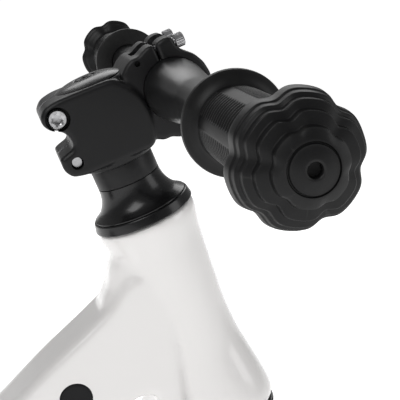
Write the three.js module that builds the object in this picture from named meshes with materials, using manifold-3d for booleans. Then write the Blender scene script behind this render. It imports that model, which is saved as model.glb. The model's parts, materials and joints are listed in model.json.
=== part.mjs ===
// Balance bike with a one-piece cast frame, a threadless headset and a clamped straight handlebar.
// Millimetres. +X forward, +Y to the rider's left, +Z up. Origin on the ground, midway between the axles.
import * as THREE from 'three';
import { mergeVertices } from 'three/addons/utils/BufferGeometryUtils.js';
import Module from 'manifold-3d';

const wasm = await Module();
wasm.setup();

// ---- driving dimensions ----
const GAP = 0.3;                      // clearance left between pieces that touch

const TYRE_R = 151;
const WHEELBASE = 580;
const TYRE_HALF_WIDTH = 25;
const RIM_BED_R = 106;
const RIM_FLANGE_R = 111;
const RIM_INNER_R = 96;
const RIM_HALF_WIDTH = 17.5;
const HUB_R = 17;
const HUB_HALF_LENGTH = 28;
const SPOKES = 8;
const WHEEL_BEARING_R = 13;
const WHEEL_BEARING_WIDTH = 8;
const AXLE_R = 5;
const DROPOUT_INNER_Y = 38.3;         // inner face of the fork ends and rear dropouts
const DROPOUT_THICKNESS = 10;
const AXLE_HEAD_R = 9;
const AXLE_HEAD_LENGTH = 6;

const HEAD_ANGLE = 68;                // steering axis above the ground, degrees
const FORK_RAKE = 28;
const AXLE_DROP = 362;                // stem's lower face to front axle, along the steering axis
const STEERER_R = 14.3;
const STEERER_BORE_R = 12.3;
const STEERER_TOP = 39;
const STEERER_FOOT = -183;
const SPACER_R = 17;
const SPACER_HEIGHT = 10.9;
const COVER_FOOT = -26.9;
const COVER_R = 24.6;
const BASE_RING_FOOT = -32.2;
const BASE_RING_R = 27.6;
const HEAD_TOP = -32.5;
const HEAD_FOOT = -158;
const HEAD_BORE_R = 17.5;
const HEADSET_BEARING_R = 20.9;
const HEADSET_BEARING_HEIGHT = 7;
const CROWN_TOP = -162.7;

const BAR_R = 11.1;
const BAR_CENTRE_R = 15.9;
const BAR_CENTRE_HALF = 26;           // half length of the thick clamping zone
const BAR_TAPER_END = 74;
const BAR_WALL = 2.2;
const BAR_REACH = 38.7;               // bar centre ahead of the steering axis
const BAR_RISE = 25;                  // bar centre above the stem's lower face
const BAR_HALF_LENGTH = 229;
const CLAMP_R = 20.2;
const CLAMP_HALF_WIDTH = 20.5;
const CLAMP_HALF_HEIGHT = 25;
const FACE_BOLT_Q = 21.2;             // bolt above and below the bar centre
const FACE_BOLT_Y = 14.2;
const STEM_HEIGHT = 43;
const STEM_R = 20;
const STEM_HALF_WIDTH = 20.5;
const PINCH_BOLT_X = -21.4;
const PINCH_BOLT_Z = [35, 10.8];

const GRIP_FLANGE_Y = 137.6;
const GRIP_FLANGE_R = 21.5;
const GRIP_R = 15.6;
const GRIP_BULB_Y = 213.8;
const GRIP_BULB_R = 23.3;
const GRIP_END_Y = 235.4;
const GRIP_SCALLOPS = 6;

const SEAT_ANGLE = 72;
const SEAT_BASE = [-102, 200];        // x and z of a point on the seat tube's axis
const SEAT_TUBE_R = 16.5;
const SEAT_TUBE_TOP = 50;             // along the seat tube's axis from SEAT_BASE
const SEAT_TUBE_FOOT = -36;
const POST_R = 12.7;
const POST_WALL = 2.2;
const POST_TOP = 75.7;
const POST_FOOT = -28;
const COLLAR_R = 21;
const COLLAR_HEIGHT = 13;
const CLAMP_EAR_X = -27;              // skewer's axis behind the seat tube's axis
const RAIL_Y = 21;
const RAIL_R = 3.5;
const RAIL_Z = 281.5;
const SADDLE_CLAMP_X = -130;

const PANEL_HALF_WIDTH = 20;
const PLUG_R = 8.6;
const PLUG_AT = [98.9, 351.6];

// ---- small helpers ----
const radians = THREE.MathUtils.degToRad;

function move(geometry, x, y, z) {
  return geometry.translate(x, y, z);
}

function stemFoot() {
  // x and z of the steering axis at the stem's lower face, from the front axle
  const lean = radians(90 - HEAD_ANGLE);
  return [WHEELBASE / 2 - FORK_RAKE * Math.cos(lean) - AXLE_DROP * Math.sin(lean),
    TYRE_R - FORK_RAKE * Math.sin(lean) + AXLE_DROP * Math.cos(lean)];
}

function frameAt([x, z], tiltFromVertical) {
  // local +Z leans back by the tilt, local +X points forward and up
  const turn = new THREE.Matrix4().makeRotationY(-radians(tiltFromVertical));
  return turn.setPosition(x, 0, z);
}

const steerFrame = frameAt(stemFoot(), 90 - HEAD_ANGLE);
const seatFrame = frameAt(SEAT_BASE, 90 - SEAT_ANGLE);
const toClamp = new THREE.Matrix4().makeTranslation(BAR_REACH, 0, BAR_RISE);
const clampFrame = steerFrame.clone().multiply(toClamp);

function signedVolume(geometry) {
  const place = geometry.attributes.position;
  const index = geometry.index.array;
  const a = new THREE.Vector3();
  const b = new THREE.Vector3();
  const c = new THREE.Vector3();
  let sum = 0;
  for (let i = 0; i < index.length; i += 3) {
    a.fromBufferAttribute(place, index[i]);
    b.fromBufferAttribute(place, index[i + 1]);
    c.fromBufferAttribute(place, index[i + 2]);
    sum += a.dot(b.cross(c));
  }
  return sum;
}

function welded(geometry) {
  // one shared vertex per corner, no empty triangles, faces outward
  const bare = geometry.clone();
  bare.deleteAttribute('normal');
  bare.deleteAttribute('uv');
  const merged = mergeVertices(bare, 1e-4);
  const source = merged.index.array;
  const kept = [];
  for (let i = 0; i < source.length; i += 3) {
    const [a, b, c] = [source[i], source[i + 1], source[i + 2]];
    if (a !== b && b !== c && c !== a) {
      kept.push(a, b, c);
    }
  }
  merged.setIndex(kept);
  if (signedVolume(merged) < 0) {
    for (let i = 0; i < kept.length; i += 3) {
      [kept[i + 1], kept[i + 2]] = [kept[i + 2], kept[i + 1]];
    }
    merged.setIndex(kept);
  }
  return merged;
}

function solid(geometry) {
  const clean = welded(geometry);
  const mesh = new wasm.Mesh({
    numProp: 3,
    vertProperties: new Float32Array(clean.attributes.position.array),
    triVerts: new Uint32Array(clean.index.array),
  });
  mesh.merge();
  return new wasm.Manifold(mesh);
}

function geometryOf(body) {
  const mesh = body.getMesh();
  const geometry = new THREE.BufferGeometry();
  geometry.setAttribute('position', new THREE.BufferAttribute(Float32Array.from(mesh.vertProperties), 3));
  geometry.setIndex(Array.from(mesh.triVerts));
  return geometry;
}

function join(...parts) {
  let body = solid(parts[0]);
  for (const part of parts.slice(1)) {
    body = body.add(solid(part));
  }
  return body;
}

function cut(body, ...tools) {
  let result = body;
  for (const tool of tools) {
    result = result.subtract(solid(tool));
  }
  return geometryOf(result);
}

function lathe(profile, segments = 32) {
  // profile of [radius, height]; the axis becomes +Z
  const points = profile.map(([r, h]) => new THREE.Vector2(r, h));
  return new THREE.LatheGeometry(points, segments).rotateX(Math.PI / 2);
}

function alongY(geometry) {
  return geometry.rotateX(-Math.PI / 2);
}

function rod(radius, from, to, segments = 16) {
  return lathe([[0, from], [radius, from], [radius, to], [0, to]], segments);
}

function ring(inner, outer, from, to, segments = 24) {
  return lathe([[inner, from], [outer, from], [outer, to], [inner, to], [inner, from]], segments);
}

function rodY(radius, from, to, segments = 16) {
  return alongY(rod(radius, from, to, segments));
}

function block(x, y, z) {
  // [low, high] along each axis
  const box = new THREE.BoxGeometry(x[1] - x[0], y[1] - y[0], z[1] - z[0]);
  return move(box, (x[0] + x[1]) / 2, (y[0] + y[1]) / 2, (z[0] + z[1]) / 2);
}

function loft(rings) {
  // closed skin over rings of equal point counts, with a fan over each end
  const count = rings[0].length;
  const corners = rings.flat();
  const faces = [];
  for (let s = 0; s < rings.length - 1; s += 1) {
    for (let i = 0; i < count; i += 1) {
      const a = s * count + i;
      const b = s * count + (i + 1) % count;
      faces.push(a, b, b + count, a, b + count, a + count);
    }
  }
  for (const end of [0, rings.length - 1]) {
    const centre = new THREE.Vector3();
    rings[end].forEach((p) => centre.add(p));
    corners.push(centre.divideScalar(count));
    for (let i = 0; i < count; i += 1) {
      const a = end * count + i;
      const b = end * count + (i + 1) % count;
      faces.push(corners.length - 1, end ? a : b, end ? b : a);
    }
  }
  const geometry = new THREE.BufferGeometry();
  const numbers = corners.flatMap((p) => p.toArray());
  geometry.setAttribute('position', new THREE.Float32BufferAttribute(numbers, 3));
  geometry.setIndex(faces);
  return geometry;
}

function rounded(count, power) {
  // unit superellipse, as [across, up] pairs
  const points = [];
  for (let i = 0; i < count; i += 1) {
    const angle = 2 * Math.PI * i / count;
    const c = Math.cos(angle);
    const s = Math.sin(angle);
    points.push([Math.sign(c) * Math.abs(c) ** (2 / power), Math.sign(s) * Math.abs(s) ** (2 / power)]);
  }
  return points;
}

function smooth(points, steps, closed = false) {
  const corners = points.map(([x, z]) => new THREE.Vector3(x, 0, z));
  const curve = new THREE.CatmullRomCurve3(corners, closed, 'centripetal');
  const found = curve.getPoints(steps);
  return found.map((p) => [p.x, p.z]);
}

const parts = new THREE.Group();
parts.name = 'balance_bike';

const colours = {
  white: 0xe6e3e1,
  black: 0x1c1c1e,
  rubber: 0x232324,
  steel: 0xb9bcc0,
  alloy: 0x2a2b2e,
  grey: 0x74777b,
};

function add(name, geometry, colour, matrix = null) {
  const shape = welded(geometry);
  if (matrix) {
    shape.applyMatrix4(matrix);
  }
  const mesh = new THREE.Mesh(shape, new THREE.MeshStandardMaterial({ color: colours[colour] }));
  mesh.name = name;
  shape.computeVertexNormals();
  parts.add(mesh);
}

// ---- frame ----
function framePanel() {
  // deep side panel from the head tube to the seat tube, with a long window through it
  const topEdge = [[150, 420], [129, 414], [118, 399.5], [105, 387], [82.4, 367], [59.6, 344.5], [28, 314],
    [-6, 283], [-34, 256], [-62, 237], [-86, 226], [-108, 222]];
  const rearEdge = [[-117, 208], [-112, 190], [-101, 172]];
  const lowEdge = [[-80, 172], [-45, 175], [0, 183], [40, 198], [80, 221], [112, 250], [138, 284],
    [160, 322]];
  const outline = smooth(topEdge, 19).concat(rearEdge, smooth(lowEdge, 13));
  const shape = new THREE.Shape(outline.map(([x, z]) => new THREE.Vector2(x, z)));
  const window = [[143, 346], [128, 308], [101, 272], [70, 244], [36, 223], [6, 212], [-12, 212],
    [-14, 222], [8, 242], [42, 268], [80, 299], [110, 327], [132, 347]];
  shape.holes.push(new THREE.Path(smooth(window, 24, true).slice(0, -1)
    .map(([x, z]) => new THREE.Vector2(x, z))));
  const bevel = 4;
  const panel = new THREE.ExtrudeGeometry(shape, {
    depth: 2 * (PANEL_HALF_WIDTH - bevel), bevelEnabled: true, bevelThickness: bevel,
    bevelSize: bevel, bevelOffset: -bevel, bevelSegments: 2, curveSegments: 1,
  });
  return move(panel.rotateX(Math.PI / 2), 0, PANEL_HALF_WIDTH - bevel, 0);
}

function headTube() {
  const outside = [[0, HEAD_FOOT], [25.6, HEAD_FOOT], [27, -153], [26, -141], [23.9, -127], [22.2, -114],
    [21.7, -96], [22.6, -80], [23.6, -66], [25, -50], [27, -39], [27.3, -34.5], [26.8, HEAD_TOP],
    [0, HEAD_TOP]];
  return lathe(outside, 28).applyMatrix4(steerFrame);
}

function stay(side) {
  // [x, z, centre y, half height, half thickness]
  const stations = [[-98, 190, 9, 18, 9], [-116, 187, 17, 18, 11], [-132, 184, 28, 16, 9],
    [-148, 180, 36.5, 14, 6.5], [-185, 172, 40, 12, 5.6], [-240, 160, 42.5, 11, 5.2],
    [-272, 154.5, 43.3, 13, 5], [-290, 151, 43.3, 15, 5], [-304, 148, 43.3, 11, 5], [-309, 147, 43.3, 5, 4]];
  const section = rounded(10, 2.6);
  return loft(stations.map(([x, z, y, high, thick]) => section.map(([across, up]) => (
    new THREE.Vector3(x + 0.22 * up * high, side * (y + across * thick), z + up * high)))));
}

function frame() {
  const seatTube = rod(SEAT_TUBE_R, SEAT_TUBE_FOOT, SEAT_TUBE_TOP, 24).applyMatrix4(seatFrame);
  const body = join(framePanel(), headTube(), seatTube, stay(1), stay(-1));
  const seatX = POST_R + GAP;
  const upperSeat = HEAD_TOP - HEADSET_BEARING_HEIGHT - 2.5;
  const lowerSeat = HEAD_FOOT + HEADSET_BEARING_HEIGHT + GAP;
  const tools = [
    rod(HEAD_BORE_R, HEAD_FOOT - 5, HEAD_TOP + 5, 28).applyMatrix4(steerFrame),
    rod(HEADSET_BEARING_R + GAP, upperSeat - GAP, HEAD_TOP + 5, 28).applyMatrix4(steerFrame),
    rod(HEADSET_BEARING_R + GAP, HEAD_FOOT - 5, lowerSeat, 28).applyMatrix4(steerFrame),
    rod(seatX, SEAT_TUBE_FOOT - 20, SEAT_TUBE_TOP + 20, 24).applyMatrix4(seatFrame),
    block([-SEAT_TUBE_R - 8, 0], [-1.5, 1.5], [SEAT_TUBE_TOP - 22, SEAT_TUBE_TOP + 10])
      .applyMatrix4(seatFrame),
    move(rodY(AXLE_R + GAP, -60, 60, 20), -WHEELBASE / 2, 0, TYRE_R),
  ];
  for (const side of [-1, 1]) {
    const depth = [side * (PANEL_HALF_WIDTH - 2.5), side * (PANEL_HALF_WIDTH + 5)].sort((a, b) => a - b);
    tools.push(move(rodY(PLUG_R + GAP, depth[0], depth[1], 24), PLUG_AT[0], 0, PLUG_AT[1]));
  }
  add('frame', cut(body, ...tools), 'white');
}

function plugs() {
  for (const [name, side] of [['beam_plug_left', 1], ['beam_plug_right', -1]]) {
    const span = [side * (PANEL_HALF_WIDTH - 2.5 + GAP), side * (PANEL_HALF_WIDTH + 0.4)];
    span.sort((a, b) => a - b);
    const plug = rodY(PLUG_R, span[0], span[1], 24);
    add(name, move(plug, PLUG_AT[0], 0, PLUG_AT[1]), 'black');
  }
}

// ---- headset ----
function headset() {
  const inside = STEERER_R + GAP;
  add('headset_spacer', ring(inside, SPACER_R, -SPACER_HEIGHT, -GAP / 2), 'alloy', steerFrame);
  const cover = [[inside, -11.2], [SPACER_R, -11.2], [17.6, -16], [20, -21.6], [COVER_R - 0.6, -25.8],
    [COVER_R, COVER_FOOT], [22.5, COVER_FOOT], [17.6, -19], [inside, -16], [inside, -11.2]];
  add('headset_cover', lathe(cover, 28), 'black', steerFrame);
  const base = [[18.2, -27.2], [25.2, -27.2], [25.9, -28.4], [27, -30.2], [BASE_RING_R, BASE_RING_FOOT],
    [18.2, BASE_RING_FOOT], [18.2, -27.2]];
  add('headset_base_ring', lathe(base, 28), 'black', steerFrame);
  const top = HEAD_TOP - 2.5;
  add('headset_compression_ring', ring(inside, 17.2, top + GAP, -22, 24), 'grey', steerFrame);
  add('headset_bearing_upper',
    ring(15, HEADSET_BEARING_R, top - HEADSET_BEARING_HEIGHT, top, 24), 'steel', steerFrame);
  add('headset_bearing_lower',
    ring(15, HEADSET_BEARING_R, HEAD_FOOT, HEAD_FOOT + HEADSET_BEARING_HEIGHT, 24), 'steel', steerFrame);
  add('headset_lower_ring', ring(20.6, 25.4, CROWN_TOP + GAP, HEAD_FOOT - GAP, 28), 'black', steerFrame);
  add('crown_race', ring(inside, 20, CROWN_TOP + GAP, HEAD_FOOT - GAP, 20), 'steel', steerFrame);
}

// ---- fork ----
function forkBlade(side) {
  // [u, v, w, half depth, half thickness] from the crown's centre to the fork end
  const stations = [[0, 0, -183, 19, 15], [0, 15, -184.5, 18.5, 14], [1, 27, -189, 17, 12],
    [2, 36, -198, 15.5, 9.5], [4, 39.5, -212, 14.5, 8], [10, 41, -260, 13, 7], [20, 42.5, -315, 12, 6],
    [26, 43.3, -348, 12, 5], [28, 43.3, -362, 14, 5], [30, 43.3, -374, 9, 5], [30.6, 43.3, -378, 4, 4]];
  const section = rounded(12, 2.5);
  const rings = [];
  stations.forEach(([u, v, w, deep, thick], i) => {
    const before = stations[Math.max(i - 1, 0)];
    const after = stations[Math.min(i + 1, stations.length - 1)];
    const run = new THREE.Vector3(0, after[1] - before[1], after[2] - before[2]).normalize();
    const across = i === 0 ? new THREE.Vector3(0, 0, 1) : new THREE.Vector3(0, -run.z, run.y);
    rings.push(section.map(([a, b]) => {
      const p = new THREE.Vector3(u + a * deep, v, w).addScaledVector(across, b * thick);
      return new THREE.Vector3(p.x, side * p.y, p.z);
    }));
  });
  return loft(rings);
}

function fork() {
  const neck = [[0, -196], [17, -196], [19, -184], [21, -174], [24, -166], [24.4, CROWN_TOP], [0, CROWN_TOP]];
  const body = join(lathe(neck, 24), forkBlade(1), forkBlade(-1));
  const bore = rod(STEERER_R + GAP, STEERER_FOOT - GAP, CROWN_TOP + 5, 24);
  const ends = move(rodY(AXLE_R + GAP, -60, 60, 20), FORK_RAKE, 0, -AXLE_DROP);
  add('fork', cut(body, bore, ends), 'white', steerFrame);
  add('steerer', ring(STEERER_BORE_R, STEERER_R, STEERER_FOOT, STEERER_TOP, 24), 'grey', steerFrame);
}

// ---- stem ----
function stem() {
  const half = STEM_HALF_WIDTH;
  const post = rod(STEM_R, 0, STEM_HEIGHT, 28);
  const arm = block([4, 30], [-STEM_R + 1, STEM_R - 1], [6, STEM_HEIGHT - 4]);
  const lugs = PINCH_BOLT_Z.map((z, i) => (
    block([-29.3, -8], [-half, half], i ? [0.5, z + 7] : [z - 7, STEM_HEIGHT - 0.5])));
  const [wide, high] = [CLAMP_HALF_WIDTH, CLAMP_HALF_HEIGHT];
  const seat = block([-16, -0.8], [-wide, wide], [-high, high]).applyMatrix4(toClamp);
  const tools = [
    rod(STEERER_R + GAP, -5, STEM_HEIGHT + 5, 24),
    block([-40, 0], [-1.3, 1.3], [-5, STEM_HEIGHT + 5]),
    rodY(BAR_CENTRE_R + GAP, -40, 40, 28).applyMatrix4(toClamp),
    block([-30, -8], [-6, 6], [17, 40]).applyMatrix4(toClamp),
  ];
  PINCH_BOLT_Z.forEach((z, i) => {
    const side = i ? 1 : -1;
    const recess = [side * 14, side * 40].sort((a, b) => a - b);
    tools.push(move(rodY(3.3, -40, 40, 12), PINCH_BOLT_X, 0, z));
    tools.push(move(rodY(6.3, recess[0], recess[1], 16), PINCH_BOLT_X, 0, z));
  });
  for (const y of [-FACE_BOLT_Y, FACE_BOLT_Y]) {
    for (const q of [-FACE_BOLT_Q, FACE_BOLT_Q]) {
      tools.push(move(rod(2.8, -15, 5, 12).rotateY(Math.PI / 2), 0, y, q).applyMatrix4(toClamp));
    }
  }
  add('stem', cut(join(post, arm, ...lugs, seat), ...tools), 'alloy', steerFrame);
}

function faceplate() {
  const width = CLAMP_HALF_WIDTH;
  const round = rodY(CLAMP_R, -width, width, 28);
  const lugs = block([0.8, 9], [-width, width], [-CLAMP_HALF_HEIGHT, CLAMP_HALF_HEIGHT]);
  const tools = [
    rodY(BAR_CENTRE_R + GAP, -40, 40, 28),
    block([-30, 0.8], [-30, 30], [-30, 30]),
    block([-30, 30], [-7.5, 7.5], [18.4, 30]),
    block([-30, 30], [-7.5, 7.5], [-30, -18.4]),
  ];
  for (const y of [-FACE_BOLT_Y, FACE_BOLT_Y]) {
    for (const q of [-FACE_BOLT_Q, FACE_BOLT_Q]) {
      tools.push(move(rod(2.8, -5, 30, 12).rotateY(Math.PI / 2), 0, y, q));
      tools.push(move(rod(4.1, 9.2, 30, 14).rotateY(Math.PI / 2), 0, y, q));
    }
  }
  add('stem_faceplate', cut(join(round, lugs), ...tools), 'alloy', clampFrame);
}

function capScrew(headR, headLength, shankR, shankLength, keyR) {
  // head from 0 upward, shank below, hexagon socket in the head
  const outside = [[0, -shankLength], [shankR, -shankLength], [shankR, 0], [headR, 0], [headR, headLength],
    [0, headLength]];
  return cut(join(lathe(outside, 12)), rod(keyR, headLength * 0.45, headLength + 5, 6));
}

function stemFasteners() {
  const rows = [['upper', 1], ['lower', -1]];
  const sides = [['left', 1], ['right', -1]];
  for (const [row, up] of rows) {
    for (const [side, out] of sides) {
      const screw = capScrew(3.7, 5, 2.4, 21, 1.9).rotateY(Math.PI / 2);
      const placed = move(screw, 9.5, out * FACE_BOLT_Y, up * FACE_BOLT_Q);
      add(`faceplate_bolt_${row}_${side}`, placed, 'steel', clampFrame);
    }
  }
  PINCH_BOLT_Z.forEach((z, i) => {
    const screw = capScrew(5, 5, 3, 30, 2.6).rotateX(i ? -Math.PI / 2 : Math.PI / 2);
    const name = i ? 'stem_pinch_bolt_lower' : 'stem_pinch_bolt_upper';
    add(name, move(screw, PINCH_BOLT_X, i ? 14.3 : -14.3, z), 'steel', steerFrame);
  });
  const cap = [[3.4, 43.4], [14.5, 43.4], [14.5, 44.4], [17.4, 44.4], [16.8, 47], [12.5, 48.6],
    [6.6, 49.2], [5.8, 46.4], [3.4, 46.4], [3.4, 43.4]];
  add('stem_top_cap', lathe(cap, 24), 'black', steerFrame);
  add('top_cap_bolt', move(capScrew(5.2, 2, 2.9, 33, 2.4), 0, 0, 46.7), 'steel', steerFrame);
  add('star_nut', ring(3.2, STEERER_BORE_R - GAP, 16, 24, 16), 'steel', steerFrame);
}

// ---- handlebar and grips ----
function handlebar() {
  const inside = BAR_R - BAR_WALL;
  const half = [[BAR_CENTRE_R, BAR_CENTRE_HALF], [BAR_R, BAR_TAPER_END], [BAR_R, BAR_HALF_LENGTH],
    [inside, BAR_HALF_LENGTH]];
  const mirrored = half.map(([r, h]) => [r, -h]).reverse();
  const bar = alongY(lathe([...mirrored, ...half, mirrored[0]], 28));
  add('handlebar', bar, 'black', clampFrame);
}

function grip(side) {
  const inside = BAR_R + GAP;
  const profile = [[inside, GRIP_FLANGE_Y], [20.8, GRIP_FLANGE_Y],
    [GRIP_FLANGE_R, 138.6], [GRIP_FLANGE_R, 141],
    [GRIP_R, 143.6], [GRIP_R + 0.6, 208], [GRIP_BULB_R, GRIP_BULB_Y], [GRIP_BULB_R, 218], [20.6, 225.5],
    [15.6, 231.2], [8.6, 234.4], [0, GRIP_END_Y], [0, 230.2], [inside, 230.2], [inside, GRIP_FLANGE_Y]];
  const shape = lathe(profile, 24);
  const place = shape.attributes.position;
  for (let i = 0; i < place.count; i += 1) {
    const along = place.getZ(i);
    const radius = Math.hypot(place.getX(i), place.getY(i));
    if (along > 208 && along < 233 && radius > 17) {
      const angle = Math.atan2(place.getY(i), place.getX(i));
      const dip = Math.max(0, -Math.cos(GRIP_SCALLOPS * angle)) ** 4;
      const shrink = 1 - 0.075 * dip;
      place.setXY(i, place.getX(i) * shrink, place.getY(i) * shrink);
    }
  }
  return alongY(shape).applyMatrix4(new THREE.Matrix4().makeScale(1, side, 1));
}

function grips() {
  add('grip_left', grip(1), 'rubber', clampFrame);
  add('grip_right', grip(-1), 'rubber', clampFrame);
}

// ---- wheels ----
function tyre() {
  const half = [[106.3, 0], [106.3, 13.9], [RIM_FLANGE_R + 0.5, 13.9], [RIM_FLANGE_R + 0.7, 18.8],
    [127, TYRE_HALF_WIDTH], [141, 21.8], [148.6, 12], [TYRE_R, 0]];
  const mirrored = half.slice(1, -1).reverse().map(([r, y]) => [r, -y]);
  return alongY(lathe([...half, ...mirrored, half[0]], 32));
}

function castWheel() {
  const rimHalf = [[RIM_INNER_R, 0], [RIM_INNER_R + 0.5, 10], [104, RIM_HALF_WIDTH],
    [RIM_FLANGE_R, RIM_HALF_WIDTH], [RIM_FLANGE_R, 14.3], [RIM_BED_R, 14.3], [RIM_BED_R, 0]];
  const mirrored = rimHalf.slice(1, -1).reverse().map(([r, y]) => [r, -y]);
  const rim = alongY(lathe([...rimHalf, ...mirrored, rimHalf[0]], 32));
  const hub = alongY(lathe([[0, -HUB_HALF_LENGTH], [HUB_R, -HUB_HALF_LENGTH], [HUB_R, -20], [HUB_R + 3, -12],
    [HUB_R + 3, 12], [HUB_R, 20], [HUB_R, HUB_HALF_LENGTH], [0, HUB_HALF_LENGTH]], 20));
  const spokes = [];
  for (let i = 0; i < SPOKES; i += 1) {
    const rings = [[14, 10, 9], [98, 8, 7.5]].map(([r, wide, deep]) => (
      rounded(6, 2.4).map(([a, b]) => new THREE.Vector3(a * wide, b * deep, r))));
    spokes.push(loft(rings).rotateY(2 * Math.PI * i / SPOKES));
  }
  const pocket = HUB_HALF_LENGTH - WHEEL_BEARING_WIDTH - 1;
  return cut(join(rim, hub, ...spokes), rodY(9, -60, 60, 16),
    rodY(WHEEL_BEARING_R + GAP, -60, -pocket, 20), rodY(WHEEL_BEARING_R + GAP, pocket, 60, 20));
}

function wheelSet(name, matrix) {
  add(`${name}_tyre`, tyre(), 'rubber', matrix);
  add(`${name}_wheel`, castWheel(), 'black', matrix);
  const near = HUB_HALF_LENGTH - WHEEL_BEARING_WIDTH - 1 + GAP;
  const far = near + WHEEL_BEARING_WIDTH;
  const outer = DROPOUT_INNER_Y + DROPOUT_THICKNESS;
  for (const [side, out] of [['left', 1], ['right', -1]]) {
    const bearing = [out * near, out * far].sort((a, b) => a - b);
    const spacer = [out * (far + GAP), out * (DROPOUT_INNER_Y - GAP)].sort((a, b) => a - b);
    const race = alongY(ring(AXLE_R + GAP, WHEEL_BEARING_R, bearing[0], bearing[1], 20));
    add(`${name}_bearing_${side}`, race, 'steel', matrix);
    add(`${name}_spacer_${side}`, alongY(ring(AXLE_R + GAP, 8, spacer[0], spacer[1], 16)), 'steel', matrix);
  }
  add(`${name}_bearing_tube`, alongY(ring(AXLE_R + GAP, 7.5, GAP - near, near - GAP, 16)), 'steel', matrix);
  const bolt = [[0, -outer - AXLE_HEAD_LENGTH - GAP], [AXLE_HEAD_R - 1.5, -outer - AXLE_HEAD_LENGTH - GAP],
    [AXLE_HEAD_R, -outer - AXLE_HEAD_LENGTH + 1.5], [AXLE_HEAD_R, -outer - GAP], [AXLE_R, -outer - GAP],
    [AXLE_R, outer + 2], [0, outer + 2]];
  const key = rod(3, -outer - AXLE_HEAD_LENGTH - 5, -outer - 2.5, 6);
  add(`${name}_axle`, alongY(cut(join(lathe(bolt, 20)), key)), 'steel', matrix);
  const nut = [[0, outer + 2 + GAP], [AXLE_R + GAP, outer + 2 + GAP], [AXLE_R + GAP, outer + GAP],
    [AXLE_HEAD_R, outer + GAP], [AXLE_HEAD_R, outer + AXLE_HEAD_LENGTH - 1.5],
    [AXLE_HEAD_R - 1.5, outer + AXLE_HEAD_LENGTH + GAP], [0, outer + AXLE_HEAD_LENGTH + GAP]];
  const socket = rod(3, outer + 3.5, outer + 20, 6);
  add(`${name}_axle_nut`, alongY(cut(join(lathe(nut, 20)), socket)), 'steel', matrix);
}

function wheels() {
  wheelSet('rear', new THREE.Matrix4().makeTranslation(-WHEELBASE / 2, 0, TYRE_R));
  wheelSet('front', new THREE.Matrix4().makeTranslation(WHEELBASE / 2, 0, TYRE_R));
}

// ---- seatpost, clamp and saddle ----
function seatClamp() {
  const foot = SEAT_TUBE_TOP - COLLAR_HEIGHT;
  const ear = [[foot + 1.5, SEAT_TUBE_TOP - 1.5], 7.5];
  const band = rod(COLLAR_R, foot, SEAT_TUBE_TOP, 32);
  const ears = block([CLAMP_EAR_X - 6, -10], [-ear[1], ear[1]], ear[0]);
  const middle = (foot + SEAT_TUBE_TOP) / 2;
  const collar = cut(join(band, ears), rod(SEAT_TUBE_R + GAP, foot - 5, SEAT_TUBE_TOP + 5, 28),
    block([-60, 0], [-1.5, 1.5], [foot - 5, SEAT_TUBE_TOP + 5]),
    move(rodY(2.9, -30, 30, 14), CLAMP_EAR_X, 0, middle));
  add('seat_clamp_collar', collar, 'alloy', seatFrame);
  add('seat_clamp_skewer', move(rodY(2.6, -14.5, 11.1, 14), CLAMP_EAR_X, 0, middle), 'steel', seatFrame);
  const nut = move(alongY(ring(2.9, 6.5, -14.2, -ear[1] - GAP, 16)), CLAMP_EAR_X, 0, middle);
  add('seat_clamp_nut', nut, 'steel', seatFrame);
  const pin = move(rod(3.2, -6, 6, 14), CLAMP_EAR_X, 14.6, middle);
  add('seat_clamp_pin', pin, 'steel', seatFrame);
  const cam = move(rod(6.6, -5.6, 5.6, 20), CLAMP_EAR_X, 14.6, middle);
  const blade = [[CLAMP_EAR_X, 17.6, 4.6, 2.6], [CLAMP_EAR_X + 12, 21.6, 5, 2.4],
    [CLAMP_EAR_X + 28, 25.4, 5.6, 2.2], [CLAMP_EAR_X + 44, 26.6, 5, 2], [CLAMP_EAR_X + 49, 26.4, 2.6, 1.4]];
  const arm = loft(blade.map(([x, y, high, thick]) => rounded(10, 2.6).map(([a, b]) => (
    new THREE.Vector3(x, y + a * thick, middle + b * high)))));
  const lever = cut(join(cam, arm), move(rod(3.2 + GAP, -10, 10, 14), CLAMP_EAR_X, 14.6, middle),
    block([CLAMP_EAR_X - 20, CLAMP_EAR_X + 3.6], [0, 14.6], [middle - 3.2, middle + 3.2]),
    block([CLAMP_EAR_X - 20, CLAMP_EAR_X], [0, 30], [middle - 3.2, middle + 3.2]));
  add('seat_clamp_lever', lever, 'alloy', seatFrame);
}

function seatpost() {
  const tube = rod(POST_R, POST_FOOT, POST_TOP, 28).applyMatrix4(seatFrame);
  const [x, z] = [SADDLE_CLAMP_X, RAIL_Z - 7.2];
  const head = block([x - 21, x + 17], [-13, 13], [z - 8, z]);
  const top = block([x - 60, x + 60], [-60, 60], [z, z + 40]);
  const bore = rod(POST_R - POST_WALL, POST_FOOT - 5, POST_TOP - 14, 24).applyMatrix4(seatFrame);
  const hole = move(rod(3.5, -30, 30, 14), x - 14.5, 0, z);
  add('seatpost', cut(join(tube, head), top, bore, hole), 'alloy');
}

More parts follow.
